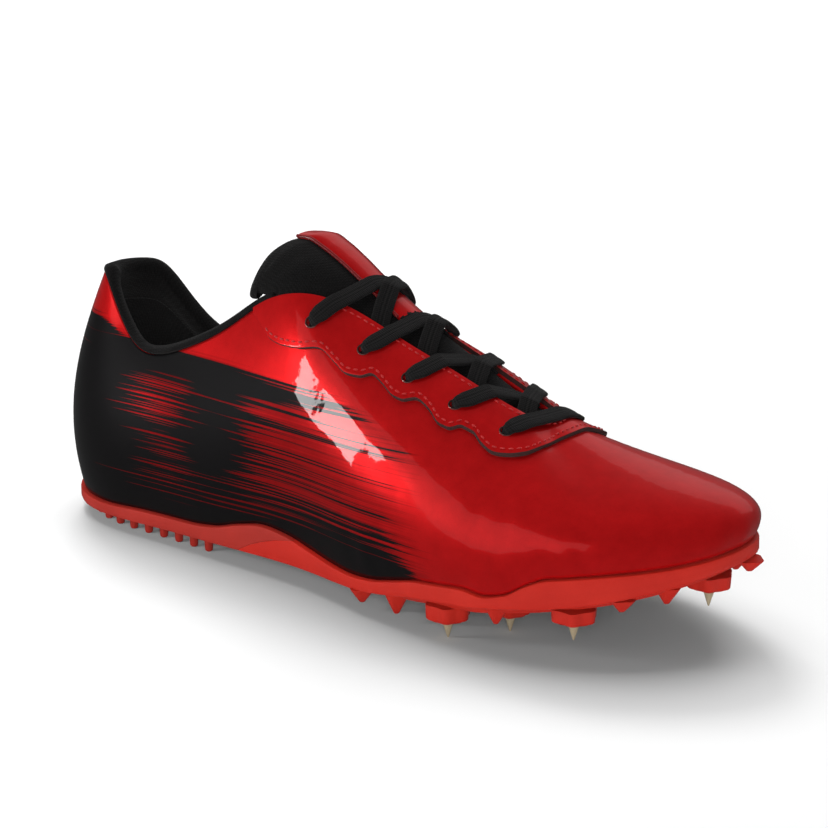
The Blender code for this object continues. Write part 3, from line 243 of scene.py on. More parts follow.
def read(values, at):
    """The closed cubic through the rows, read at places round the last."""
    bend = BENDS[id(values)]
    steps = np.diff(np.append(KNOTS, PERIOD))
    place = np.mod(np.asarray(at, dtype=float), PERIOD)
    i = np.clip(np.searchsorted(KNOTS, place, side="right") - 1, 0, len(KNOTS) - 1)
    step = steps[i][:, None]
    t = (place - KNOTS[i])[:, None] / step
    j = (i + 1) % len(KNOTS)
    cubic = ((1.0 - t) ** 3 - (1.0 - t)) * bend[i] + (t**3 - t) * bend[j]
    return values[i] * (1.0 - t) + values[j] * t + cubic * step**2 / 6.0


def outline(at):
    """Points of the outline, and the level directions square to its run that face outwards."""
    tangent = read(OUTLINE_ROWS, np.asarray(at) + 5e-5) - read(OUTLINE_ROWS, np.asarray(at) - 5e-5)
    tangent = unit(tangent)
    return read(OUTLINE_ROWS, at), np.column_stack([tangent[:, 1], -tangent[:, 0]])


def underside(along):
    """The level of the sole's underside: the heel's, rising to the plate's and then the spring."""
    plate = HOUSING_HEIGHT + PIN_LENGTH + CLEARANCE
    rise = soft_interp(along, SOLE[:, 0], SOLE[:, 1])
    return NUB_HEIGHT + rise * (plate - NUB_HEIGHT) + TOE_SPRING * soft_interp(
        along, SOLE[:, 0], SOLE[:, 2]
    )


def sole_level(along, column):
    """The level of the bed or of a lip: shares of the sole's thickness above the underside."""
    return underside(along) + SOLE_THICKNESS * soft_interp(along, SOLE[:, 0], SOLE[:, column])


def lip(at):
    """The level of the sole's lip: the lateral one up to the toe and the medial one past it."""
    at = np.mod(np.asarray(at, dtype=float), PERIOD)
    along = outline(at)[0][:, 0] / LENGTH
    return np.where(at <= TOE, sole_level(along, 4), sole_level(along, 5))


def rib_point(at, share):
    """A cubic Bezier rib from the lip's foot, out over the belly and in to the opening's edge."""
    edge_x, edge_y, edge_z, belly, stand, lean, drop = read(RIB_ROWS, at).T
    line, outward = outline(at)
    foot = line - outward * UPPER_INSET
    foot_z = lip(at) + CLEARANCE
    climb = edge_z - foot_z
    edge = np.column_stack([edge_x, edge_y])
    lower = np.column_stack([foot + outward * belly[:, None], foot_z + stand * climb])
    upper = np.column_stack([edge + lean[:, None] * (foot - edge), edge_z - drop * climb])
    t = share[:, None]
    s = 1.0 - t
    start, end = np.column_stack([foot, foot_z]), np.column_stack([edge, edge_z])
    return s**3 * start + 3.0 * s**2 * t * lower + 3.0 * s * t**2 * upper + t**3 * end


def rib_normal(at, share):
    """The outward direction: square to the run round the last and to the rib's climb."""
    around = rib_point(at + 2e-4, share) - rib_point(at - 2e-4, share)
    above, below = np.minimum(share + 0.01, 1.0), np.maximum(share - 0.01, 0.0)
    return unit(np.cross(around, rib_point(at, above) - rib_point(at, below)))


def seat(points):
    """Turns points of the last about the heel's middle, as the standing shoe sits back."""
    tilt = math.atan(SIT_BACK)
    moved = np.asarray(points) - (HEEL_MIDDLE, 0.0, 0.0)
    x = moved[..., 0] * math.cos(tilt) - moved[..., 2] * math.sin(tilt)
    z = moved[..., 0] * math.sin(tilt) + moved[..., 2] * math.cos(tilt)
    return np.stack([x, moved[..., 1], z], axis=-1)


def seat_direction(direction):
    """Turns directions as seat turns points."""
    return seat(np.asarray(direction) + (HEEL_MIDDLE, 0.0, 0.0))


def edge_place(along, side):
    """The place round the last whose rib ends at that share of the length, on one side."""
    dense = np.linspace(0.02, 0.98, 801) * TOE
    at = dense if side < 0 else PERIOD - dense
    return float(np.interp(along, read(RIB_ROWS, at)[:, 0] / LENGTH, at))


def share_below_edge(at, distance):
    """The share of each rib that lies the given distance below the edge, measured along the rib."""
    at = np.asarray(at, dtype=float)
    distance = np.broadcast_to(distance, at.shape)
    shares = np.linspace(1.0, 0.0, 161)
    run = rib_point(np.repeat(at, len(shares)), np.tile(shares, len(at))).reshape(len(at), -1, 3)
    length = np.cumsum(np.linalg.norm(np.diff(run, axis=1), axis=2), axis=1)
    length = np.concatenate([np.zeros((len(at), 1)), length], axis=1)
    i = np.clip((length < distance[:, None]).sum(axis=1), 1, len(shares) - 1)
    rows = np.arange(len(at))
    part = (distance - length[rows, i - 1]) / (length[rows, i] - length[rows, i - 1])
    return shares[i - 1] + (shares[i] - shares[i - 1]) * np.clip(part, 0.0, 1.0)


def rib_surface(at, share, proud=0.0):
    """Points at places and shares of any shape, moved proud along the outward direction."""
    at, share = np.broadcast_arrays(np.asarray(at, dtype=float), np.asarray(share, dtype=float))
    flat_at, flat_share = at.ravel(), share.ravel()
    points = rib_point(flat_at, flat_share)
    proud = np.broadcast_to(proud, at.shape).ravel()
    points = points + rib_normal(flat_at, flat_share) * proud[:, None]
    return points.reshape(*at.shape, 3)


def relief(at, share):
    """Soft dents of the pulled sheet: long ripples over the sole, troughs where the ball bends."""
    around = at / PERIOD

    def hump(value, middle, reach):
        """A soft bell of height 1."""
        return np.exp(-(((value - middle) / reach) ** 2))

    low = hump(share, 0.10, 0.10)
    ripple = np.sin(2.0 * np.pi * (38.0 * around + 0.7 * np.sin(9.0 * around * np.pi)))
    ripple += 0.6 * np.sin(2.0 * np.pi * 61.0 * around + 1.3)
    front = smooth_step(np.abs(around - 0.5), 0.24, 0.12)
    waist = hump(around, 0.30, 0.05) + hump(around, 0.70, 0.05)
    ball = hump(around, 0.385, 0.012) + hump(around, 0.612, 0.014)
    ripples = (WAIST_RIPPLE * waist - FRONT_RIPPLE * front) * low * ripple
    return ripples - BALL_TROUGH * ball * hump(share, 0.72, 0.20)


def put_mesh(name, points, faces, materials=(), smooth=True):
    """A new piece from points and one or more arrays of faces; its object is at the origin."""
    parts = faces if isinstance(faces, list) else [faces]
    mesh = bpy.data.meshes.new(name)
    points = np.asarray(points, dtype=float).reshape(-1, 3)
    mesh.from_pydata(points.tolist(), [], [face for part in parts for face in part.tolist()])
    for material in materials:
        mesh.materials.append(material)
    if smooth:
        mesh.shade_smooth()
    piece = bpy.data.objects.new(name, mesh)
    bpy.context.scene.collection.objects.link(piece)
    return piece


def grid_quads(rows, columns, wrap_rows=False, wrap_columns=False):
    """Quads of a grid of points as one array, closed round its rows or columns where asked."""
    i = np.arange(rows if wrap_rows else rows - 1)[:, None]
    j = np.arange(columns if wrap_columns else columns - 1)[None, :]
    k, m = (i + 1) % rows, (j + 1) % columns
    corners = [i * columns + j, k * columns + j, k * columns + m, i * columns + m]
    return np.stack(corners, -1).reshape(-1, 4)


def tube_quads(rows, sides):
    """Quads round a tube of closed sections, without its ends."""
    return grid_quads(rows, sides, wrap_columns=True)[:, [0, 3, 2, 1]]


def closed_tube(sections):
    """Points and faces of a tube whose ends close on the middles of the outer sections."""
    rows, sides = sections.shape[:2]
    points = np.concatenate([sections.reshape(-1, 3), sections[[0, -1]].mean(axis=1)])
    j = np.arange(sides)
    k, centre, last = (j + 1) % sides, np.full(sides, rows * sides), (rows - 1) * sides
    caps = np.stack([centre, k, j, centre + 1, last + j, last + k], -1).reshape(-1, 3)
    return points, [tube_quads(rows, sides), caps]


def repeated(points, quads):
    """Points of many like forms, with the quads of one repeated for each."""
    starts = np.arange(len(points)) * (points[0].size // 3)
    return points.reshape(-1, 3), (quads[None] + starts[:, None, None]).reshape(-1, 4)


def join_arrays(parts):
    """Several arrays of points and quads as one."""
    points = np.concatenate([part[0] for part in parts])
    starts = np.cumsum([0] + [len(part[0]) for part in parts[:-1]])
    return points, np.concatenate([part[1] + start for part, start in zip(parts, starts)])


def run_along(line):
    """The distance run at each point of a line."""
    return np.concatenate([[0.0], np.cumsum(np.linalg.norm(np.diff(line, axis=0), axis=1))])


def points_at(line, spots):
    """The points of a line at the given distances along it."""
    run = run_along(line)
    return np.column_stack([np.interp(spots, run, column) for column in line.T])


def new_material(name, colour, roughness, **sockets):
    """A material whose shader has these values on its own sockets; returns it with its parts."""
    material = bpy.data.materials.new(name)
    material.use_nodes = True
    tree = material.node_tree
    shader = tree.nodes["Principled BSDF"]
    shader.inputs["Base Color"].default_value = (*colour, 1.0)
    shader.inputs["Roughness"].default_value = roughness
    for socket, value in sockets.items():
        shader.inputs[socket.replace("_", " ")].default_value = value
    return material, tree, shader


def add_node(tree, kind, inputs=None, **settings):
    """A shader node; inputs maps a socket to a value, or to another node's socket to link."""
    node = tree.nodes.new(f"ShaderNode{kind}")
    for name, value in settings.items():
        setattr(node, name, value)
    for socket, value in (inputs or {}).items():
        if isinstance(value, bpy.types.NodeSocket):
            tree.links.new(value, node.inputs[socket])
        else:
            node.inputs[socket].default_value = value
    return node


def stretched(tree, scale=(1.0, 1.0, 1.0), turn=(0.0, 0.0, 0.0)):
    """Object coordinates, turned and scaled."""
    place = add_node(tree, "TexCoord")
    inputs = {"Vector": place.outputs["Object"], "Scale": scale, "Rotation": turn}
    return add_node(tree, "Mapping", inputs).outputs["Vector"]


def noise(tree, scale, detail=2.0, roughness=0.5, vector=None):
    """Fractal noise at the Object coordinates or at a vector."""
    inputs = {"Scale": scale, "Detail": detail, "Roughness": roughness}
    inputs["Vector"] = vector or stretched(tree)
    return add_node(tree, "TexNoise", inputs).outputs["Fac"]


def math_of(tree, operation, a, b, c=0.0):
    """One step of arithmetic on values or sockets."""
    return add_node(tree, "Math", {0: a, 1: b, 2: c}, operation=operation).outputs[0]


def weighed(tree, *pairs):
    """The sum of values, each times its weight."""
    total = math_of(tree, "MULTIPLY", *pairs[0])
    for value, weight in pairs[1:]:
        total = math_of(tree, "ADD", total, math_of(tree, "MULTIPLY", value, weight))
    return total


def ramp(tree, value, start, end, top=1.0, clamp=True):
    """Rises evenly from 0 at start to top at end."""
    inputs = {"Value": value, "From Min": start, "From Max": end, "To Max": top}
    return add_node(tree, "MapRange", inputs, clamp=clamp).outputs["Result"]


def mix_colours(tree, share, *colours):
    """A colour between two, by share; either may be a socket."""
    a, b = (c if isinstance(c, bpy.types.NodeSocket) else (*c, 1.0) for c in colours)
    return add_node(tree, "Mix", {0: share, 6: a, 7: b}, data_type="RGBA").outputs[2]


def colour_by(tree, shader, share, low, high):
    """Colours a shader between two colours, by share."""
    tree.links.new(mix_colours(tree, share, low, high), shader.inputs["Base Color"])


def bump_into(tree, shader, height, distance, strength=1.0, socket="Normal"):
    """Lifts the shader's surface by a height."""
    inputs = {"Height": height, "Distance": distance, "Strength": strength}
    tree.links.new(add_node(tree, "Bump", inputs).outputs["Normal"], shader.inputs[socket])


def grained(name, colour, roughness, low, high, grain, bump=None, scale=(1.0, 1.0, 1.0), **sockets):
    """A material mottled between two colours by a noise, which also lifts its surface."""
    material, tree, shader = new_material(name, colour, roughness, **sockets)
    height = noise(tree, *grain, vector=stretched(tree, scale))
    colour_by(tree, shader, height, low, high)
    if bump:
        bump_into(tree, shader, height, *bump)
    return material


def patent_red(name, printed):
    """Pearly patent: metal flakes under a hard clear coat; the print is matt black under it."""
    material, tree, shader = new_material(
        name, (0.60, 0.008, 0.010), 0.30, Metallic=0.55, Coat_Weight=0.45, Coat_Roughness=0.03,
        Specular_IOR_Level=0.10,
    )
    flakes = noise(tree, 5200.0, 1.0)
    pearl = weighed(tree, (flakes, 0.35), (noise(tree, 150.0, 4.0, 0.65), 0.65))
    red = mix_colours(tree, pearl, (0.46, 0.002, 0.003), (0.86, 0.012, 0.014))
    roughness = math_of(tree, "MULTIPLY_ADD", flakes, 0.10, 0.25)
    if printed:
        ink = add_node(tree, "Attribute", attribute_name="ink").outputs["Fac"]
        level = stretched(tree, (1.0, 0.05, 1.0), (0.0, 0.020, 0.0))
        parts = []
        for scale, detail, rough, weight in PRINT_LINES:
            place = add_node(tree, "Mapping", {"Vector": level, "Scale": scale}).outputs[0]
            parts.append((noise(tree, 1.0, detail, rough, place), weight))
        lines = ramp(tree, weighed(tree, *parts), 0.30, 0.70, clamp=False)
        over = math_of(tree, "ADD", lines, ink)
        mask = ramp(tree, over, 0.97, 1.03)
        red = mix_colours(tree, ramp(tree, over, 0.60, 1.0, 0.45), red, (0.16, 0.001, 0.002))
        red = mix_colours(tree, ramp(tree, ink, 0.36, 0.72, 0.80), red, (0.10, 0.001, 0.002))
        red = mix_colours(tree, mask, red, (0.004, 0.0035, 0.004))
        metal = math_of(tree, "MULTIPLY_ADD", mask, -0.50, 0.55)
        tree.links.new(metal, shader.inputs["Metallic"])
        roughness = math_of(tree, "ADD", roughness, math_of(tree, "MULTIPLY", mask, 0.12))
    tree.links.new(red, shader.inputs["Base Color"])
    tree.links.new(roughness, shader.inputs["Roughness"])
    bump_into(tree, shader, noise(tree, 180.0, 2.0, 0.45), 0.00007, 1.0, "Coat Normal")
    bump_into(tree, shader, flakes, 0.00002, 0.6)
    return material


def black_cloth(name, scale, colour=(0.0060, 0.0056, 0.0056), depth=0.0003):
    """Black textile: small round cells for its stitches, fuzz, and a soft sheen."""
    material, tree, shader = new_material(
        name, colour, 0.88, Sheen_Weight=0.04, Sheen_Roughness=0.5, Specular_IOR_Level=0.15
    )
    place = stretched(tree, (scale, scale, scale))
    cells = add_node(tree, "TexVoronoi", {"Vector": place, "Scale": 1.0, "Randomness": 0.25})
    fuzz = math_of(tree, "MULTIPLY", noise(tree, 1.7, 3.0, 0.6, place), 0.5)
    height = math_of(tree, "SUBTRACT", fuzz, cells.outputs["Distance"])
    dark = tuple(0.45 * part for part in colour)
    light = tuple(1.7 * part + 0.001 for part in colour)
    colour_by(tree, shader, ramp(tree, height, -0.6, 0.3), dark, light)
    bump_into(tree, shader, height, depth, 0.8)
    return material


def eyelet_centres():
    """The middle of each eyelet on the rib surface and the direction out of it, five a side."""
    found = []
    for side in (-1, 1):
        for along, inset in EYELET_PLACES:
            at = np.array([edge_place(along, side)])
            share = share_below_edge(at, inset)
            found.append((side, rib_point(at, share)[0], rib_normal(at, share)[0]))
    return found


def ring_points(centre, normal, radius, sides):
    """Points of a circle square to a direction."""
    turn = np.array(Vector((0.0, 0.0, 1.0)).rotation_difference(Vector(normal)).to_matrix())
    angle = 2.0 * np.pi * np.arange(sides) / sides
    flat = np.column_stack([np.cos(angle), np.sin(angle), np.zeros(sides)]) * radius
    return flat @ turn.T + centre


def cut_by(piece, block, operation):
    """Cuts a piece by a block, keeps the mesh that this gives and removes the block."""
    modifier = piece.modifiers.new("cut", "BOOLEAN")
    modifier.operation = operation
    modifier.solver = "EXACT"
    modifier.object = block
    state = bpy.context.evaluated_depsgraph_get()
    old, piece.data = piece.data, bpy.data.meshes.new_from_object(piece.evaluated_get(state))
    piece.modifiers.clear()
    bpy.data.meshes.remove(old)
    bpy.data.objects.remove(block, do_unlink=True)


def cut_eyelets(piece):
    """Cuts the ten eyelet holes through a finished shell."""
    points, faces = [], []
    for _, centre, normal in eyelet_centres():
        start = 2 * PUNCH_SIDES * len(points)
        ends = [centre + normal * step for step in (-PUNCH_REACH, PUNCH_REACH)]
        rings = [ring_points(end, normal, EYELET_RADIUS, PUNCH_SIDES) for end in ends]
        points.append(seat(np.array(rings)))
        ring = np.arange(PUNCH_SIDES)[None] + start
        faces += [tube_quads(2, PUNCH_SIDES) + start, ring[:, ::-1], ring + PUNCH_SIDES]
    cut_by(piece, put_mesh("punch", points, faces, smooth=False), "DIFFERENCE")


def shell(name, outer, inner, materials, wrap=False):
    """A wall between two grids of points: both sides, the foot, the edge, and the ends if open.

    Faces of the outside take the first material, the edges the second and the inside the third.
    """
    rows, columns = outer.shape[:2]
    count = rows * columns
    quads = grid_quads(rows, columns, wrap)
    i = np.arange(rows if wrap else rows - 1)
    k = (i + 1) % rows
    rims = [
        np.stack([k * columns, i * columns, i * columns + count, k * columns + count], -1),
        np.stack([i, k, k, i], -1) * columns + columns - 1 + np.array([0, 0, count, count]),
    ]
    if not wrap:
        j = np.arange(columns - 1)
        last = (rows - 1) * columns
        rims.append(np.stack([j, j + 1, j + 1 + count, j + count], -1))
        rims.append(np.stack([j + 1, j, j + count, j + 1 + count], -1) + last)
    faces = np.concatenate([quads, *rims, quads[:, ::-1] + count])
    piece = put_mesh(name, np.array([outer, inner]), faces, materials)
    kinds = np.ones(len(faces), dtype=np.int32)
    kinds[: len(quads)] = 0
    kinds[-len(quads):] = 2
    piece.data.polygons.foreach_set("material_index", kinds)
    return piece


def face_out(piece, hard=HARD_ANGLE, weld=True):
    """Turns every face of a closed piece outwards; edges over the hard angle stay crisp."""
    shape = bmesh.new()
    shape.from_mesh(piece.data)
    if weld:
        bmesh.ops.remove_doubles(shape, verts=shape.verts, dist=1e-6)
    bmesh.ops.recalc_face_normals(shape, faces=shape.faces)
    shape.to_mesh(piece.data)
    shape.free()
    piece.data.shade_smooth()
    if hard:
        piece.data.set_sharp_from_angle(angle=math.radians(hard))
    return piece


def ink_on(points):
    """Weight of the print: it fades ahead of the heel, swells in the patches, and ends at a
    slanting upper line and over the ball. Lengths are in mm."""
    mm = points * 1000.0
    x, level = mm[:, 0], mm[:, 2] - INK_SLANT * mm[:, 0]
    ink = INK_AT_HEEL - INK_FADE * np.clip(x + 20.0, 0.0, 400.0)
    for ahead, height, reach_x, reach_z, strength in INK_PATCHES:
        off_x, off_z = (x - ahead) / reach_x, (level - height) / reach_z
        ink += strength * np.exp(-(off_x**2) - off_z**2)
    ceiling = 74.0 + 6.0 * smooth_step(x, -2.0, -22.0) - 26.0 * smooth_step(x, 85.0, 190.0)
    ink -= 1.2 * smooth_step(level, ceiling - 5.0, ceiling + 3.0)
    return ink - smooth_step(x, 128.0, 172.0)


at = np.arange(AROUND_FINE) / AROUND_FINE * PERIOD
at_grid, share_grid = np.meshgrid(at, np.linspace(0.0, 1.0, UP_FINE), indexing="ij")
outside = seat(rib_surface(at_grid, share_grid, relief(at_grid, share_grid)))
inside = seat(rib_surface(at_grid, share_grid, -UPPER_WALL))
patent_print = patent_red("patent_red_printed", True)
patent_edge = patent_red("patent_red_edge", False)
lining_cloth = black_cloth("lining_cloth", 1500.0)
upper = shell("upper_shell", outside, inside, [patent_print, patent_edge, lining_cloth], wrap=True)
points = np.concatenate([outside.reshape(-1, 3), inside.reshape(-1, 3)])
ink = upper.data.attributes.new("ink", "FLOAT", "POINT")
ink.data.foreach_set("value", ink_on(points).astype(np.float32))
cut_eyelets(upper)
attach(upper, "root")
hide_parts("upper")


# The eyestay
# A second layer of the same patent is sewn round the throat. Its lower edge is cut in scallops,
# one under each eyelet, and shows the dark core of the sheet; a row of stitches follows the cut.
EYESTAY_THICKNESS = 0.0009
EYESTAY_END = 0.356
# edge along, depth below the edge: the scalloped line
SCALLOPS = np.array([
    (0.355, 0.0015), (0.368, 0.0088), (0.382, 0.0145), (0.403, 0.0179), (0.428, 0.0193),
    (0.452, 0.0185), (0.475, 0.022), (0.49, 0.0241), (0.509, 0.0229), (0.529, 0.0195),
    (0.545, 0.0206), (0.563, 0.0223), (0.575, 0.022), (0.598, 0.0186), (0.614, 0.02),
    (0.632, 0.0232), (0.643, 0.023), (0.66, 0.0196), (0.672, 0.0196), (0.684, 0.0223),
    (0.697, 0.0239), (0.711, 0.0228), (0.719, 0.0212), (0.7283, 0.0147), (0.7345, 0.0102),
    (0.738, 0.0087),
])
EYESTAY_LIFT = 0.00057
EYESTAY_PUFF = 0.00012
EYESTAY_FINE = 460


def eyestay_depth(at):
    """How far below the edge the layer reaches, read from the scalloped line."""
    edge = rib_point(at, np.ones(len(at)))[:, 0] / LENGTH
    return soft_interp(edge, SCALLOPS[:, 0], SCALLOPS[:, 1])


raw_edge = grained(
    "raw_cut_edge", (0.045, 0.018, 0.016), 0.75, (0.015, 0.008, 0.008), (0.090, 0.036, 0.032),
    (2600.0, 3.0, 0.7), (0.0002, 0.8),
)
stay_at = np.linspace(edge_place(EYESTAY_END, -1), edge_place(EYESTAY_END, 1), EYESTAY_FINE)
stay_low = share_below_edge(stay_at, eyestay_depth(stay_at))[:, None]
steps = np.concatenate([[0.0, 0.018], np.linspace(0.045, 0.97, 22), [1.0]])
stay_shares = stay_low + (1.0 - stay_low) * steps
rounded = EYESTAY_PUFF * np.sin(np.pi * steps) ** 0.5 - 0.00015 * (steps == 0.0)
top = EYESTAY_LIFT + EYESTAY_THICKNESS
outside = seat(rib_surface(stay_at[:, None], stay_shares, top + rounded))
inside = seat(rib_surface(stay_at[:, None], stay_shares, -0.0001))
patent_plain = patent_red("patent_red_plain", False)
eyestay = shell("eyestay_layer", outside, inside, [patent_plain, raw_edge, raw_edge])
kinds = np.zeros(len(eyestay.data.polygons), dtype=np.int32)
eyestay.data.polygons.foreach_get("material_index", kinds)
kinds[: (len(stay_at) - 1) * (len(steps) - 1) : len(steps) - 1] = 1
eyestay.data.polygons.foreach_set("material_index", kinds)
cut_eyelets(eyestay)
eyestay.data.set_sharp_from_angle(angle=math.radians(45.0))
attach(eyestay, "root")
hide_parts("eyestay")


# The stitches
# Red thread in short even stitches, half sunk in the patent: one row along the scallops, one
# along the throat's edge and one under the collar.
STITCH_LENGTH = 0.0019
STITCH_GAP = 0.0009
STITCH_RADIUS = 0.00036
STITCH_INSET = 0.0022


def stitch_row(centres, directions, normals):
    """Capsules along the row: an ellipse swept along each stitch, closing at both ends."""
    steps = np.linspace(-1.0, 1.0, 7)[:, None, None]
    sides = (np.arange(6) * np.pi / 3.0)[:, None]
    centres, directions, normals = (part[:, None, None] for part in (centres, directions, normals))
    swell = STITCH_RADIUS * (np.sqrt(np.clip(1.0 - steps**2, 0.0, 1.0)) * 0.98 + 0.02)
    ring = np.cross(normals, directions) * np.cos(sides) + 0.8 * normals * np.sin(sides)
    points = centres + directions * (steps * 0.5 * STITCH_LENGTH) + (0.35 * normals + ring) * swell
    return repeated(points, tube_quads(len(steps), len(sides)))


def rib_line_stitches(at, share, proud):
    """Even stitches along a line on the rib surface given by places and shares."""
    line = seat(rib_surface(at, share, proud))
    run = run_along(line)
    spots = np.arange(0.5 * STITCH_LENGTH, run[-1], STITCH_LENGTH + STITCH_GAP)
    centres = points_at(line, spots)
    directions = unit(points_at(line, spots + 0.0004) - centres)
    normals = rib_normal(np.interp(spots, run, at), np.interp(spots, run, share))
    return stitch_row(centres, directions, seat_direction(normals))


red_thread, tree, shader = new_material("red_thread", (0.50, 0.012, 0.014), 0.45, Sheen_Weight=0.1)
twist = {"Vector": stretched(tree), "Scale": 900.0, "Distortion": 1.0}
twist = add_node(tree, "TexWave", twist).outputs["Fac"]
colour_by(tree, shader, twist, (0.30, 0.004, 0.006), (0.70, 0.03, 0.03))
bump_into(tree, shader, twist, 0.0001, 0.7)

surface_lift = EYESTAY_LIFT + EYESTAY_THICKNESS + 0.00010
row_at = stay_at[6:-6]
row_share = share_below_edge(row_at, eyestay_depth(row_at) - STITCH_INSET)
scallop_row = rib_line_stitches(row_at, row_share, surface_lift)
throat_at = np.linspace(edge_place(0.463, -1), edge_place(0.463, 1), 300)
throat_share = share_below_edge(throat_at, STITCH_INSET)
throat_row = rib_line_stitches(throat_at, throat_share, surface_lift)
stitches = face_out(put_mesh("red_stitches", *join_arrays([scallop_row, throat_row]), [red_thread]))
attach(stitches, "root")


# The eyelets
# Each hole is set with a small rolled ring, coated dark red and mottled with pale patches that are
# painted glints.
RING_RADIUS = 0.00030


def torus(centre, normal, radius, tube_radius, rows=36, sides=10):
    """A ring of small circles about a line through the centre."""
    spine = ring_points(np.zeros(3), normal, 1.0, rows)
    angle = 2.0 * np.pi * np.arange(sides) / sides
    out = spine[:, None] * (radius + tube_radius * np.cos(angle))[None, :, None]
    up = np.asarray(normal)[None, None] * (tube_radius * np.sin(angle))[None, :, None]
    return (out + up + centre).reshape(-1, 3), grid_quads(rows, sides, True, True)


# The dark red is the ring's own coat; the pale colour of its mottle stands in for glints: painted
# highlights.
ring_metal = grained(
    "eyelet_ring", (0.30, 0.10, 0.09), 0.30, (0.16, 0.012, 0.012), (0.62, 0.40, 0.37), (900.0, 2.0),
    (0.00005, 0.5), Metallic=1.0,
)
rings = []
for _, centre, normal in eyelet_centres():
    middle = seat(centre + normal * (surface_lift - 0.00005))
    rings.append(torus(middle, seat_direction(normal), EYELET_RADIUS, RING_RADIUS))
eyelets = face_out(put_mesh("eyelet_rings", *join_arrays(rings), [ring_metal]))
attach(eyelets, "root")


# The collar cuff
# A padded roll of black textile covers the rim of the heel opening and goes down inside it.
CUFF_WIDTH = 0.0055
CUFF_HEIGHT = 0.0034
CUFF_DEPTH = 0.0120
CUFF_END = 0.385
CUFF_SIDES = 48
# across the rim and above it, then across it and down inside: shares of the sizes above
CUFF_OVER = (
    (0.03, 0.12), (0.12, 0.30), (0.10, 0.62), (-0.08, 0.90), (-0.35, 1.05), (-0.68, 0.92),
    (-0.92, 0.55), (-1.02, 0.10),
)
CUFF_DOWN = (
    (-1.04, 0.3), (-1.02, 0.6), (-0.92, 0.9), (-0.60, 1.05), (0.0, 1.0), (0.0, 0.6), (0.0, 0.2),
)


def close_smooth(section, sides):
    """Redraws closed sections with more points, by a periodic cubic through the ones given."""
    count = section.shape[1]
    t = np.arange(sides) / sides * count
    i = np.floor(t).astype(int)
    f = (t - i)[None, :, None]
    a, b, c, d = (section[:, (i + step) % count] for step in (-1, 0, 1, 2))
    return b + 0.5 * f * (c - a + f * (2 * a - 5 * b + 4 * c - d + f * (3 * (b - c) + d - a)))


cuff_cloth = black_cloth("cuff_cloth", 1250.0, depth=0.00025)
cuff_at = np.linspace(edge_place(CUFF_END, 1) - PERIOD, edge_place(CUFF_END, -1), 300)
ones = np.ones(len(cuff_at))
edge = rib_point(cuff_at, ones)
normal = rib_normal(cuff_at, ones)
climb = unit(edge - rib_point(cuff_at, ones - 0.02))
inner_face = UPPER_WALL + 3.4 * CLEARANCE
from_end = np.minimum(cuff_at[-1] - cuff_at, cuff_at - cuff_at[0]) / (cuff_at[-1] - cuff_at[0])
full = 0.5 + 0.5 * smooth_step(from_end, 0.0, 0.12)
columns = []
for out, above in CUFF_OVER:
    wide = out * (full if out < -0.5 else np.minimum(full + 0.3, 1.0)) * CUFF_WIDTH
    columns.append(edge + normal * wide[:, None] + climb * (above * CUFF_HEIGHT))
for out, below in CUFF_DOWN:
    share = share_below_edge(cuff_at, below * CUFF_DEPTH)
    least = inner_face + CLEARANCE + (0.3 * CUFF_WIDTH if out < -0.5 else 0.0)
    wide = np.minimum(out * full * CUFF_WIDTH, -least)
    columns.append(rib_point(cuff_at, share) + rib_normal(cuff_at, share) * wide[:, None])
columns.append(edge - normal * inner_face + climb * 0.10 * CUFF_HEIGHT)
cuff_points = seat(close_smooth(np.stack(columns, axis=1), CUFF_SIDES))
cuff = face_out(put_mesh("collar_cuff_pad", *closed_tube(cuff_points), [cuff_cloth]), hard=None)
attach(cuff, "root")
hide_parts("collar_cuff")


# The tongue
# Foam between two layers of black woven textile, bound at its edge. It stands above the laces,
# and its lateral half wraps down beside the collar.
TONGUE_WIDTH = 0.041
TONGUE_PAD = 0.0080
TONGUE_TILT = -0.03
WING = 0.24
WING_BEND = 1.2
WING_SPAN = (0.55, 0.80)
CORNER_START = 0.93
CORNER_ROUND = 0.26
SWEEP = 0.0080
MEDIAL_FLATNESS = 0.5
# along, rise, width, sag, pad: from its end under the vamp to its top
TONGUE = np.array([
    (0.745, 0.59, 0.5, 0.05, 0.25), (0.714, 0.636, 0.62, 0.08, 0.28),
    (0.671, 0.704, 0.72, 0.15, 0.32), (0.614, 0.8, 0.79, 0.22, 0.38),
    (0.557, 0.886, 0.83, 0.26, 0.45), (0.507, 0.962, 0.86, 0.28, 0.52),
    (0.464, 1.032, 0.88, 0.29, 0.6), (0.432, 1.092, 0.9, 0.3, 0.7), (0.407, 1.133, 0.95, 0.31, 0.8),
    (0.383, 1.16, 0.98, 0.31, 0.75), (0.363, 1.158, 0.98, 0.3, 0.5),
])
# across and share of the pad below the face: the section, from the lateral edge and round
TONGUE_SECTION = (
    (-1.0, 0.4), (-0.94, 0.1), (-0.8, 0.02), (-0.6, 0.0), (-0.31, 0.0), (0.0, 0.0), (0.31, 0.0),
    (0.6, 0.0), (0.8, 0.02), (0.94, 0.1), (1.0, 0.4), (0.94, 0.78), (0.7, 0.97), (0.35, 1.0),
    (0.0, 1.0), (-0.35, 1.0), (-0.7, 0.97), (-0.94, 0.78),
)
TONGUE_SIDES = 90


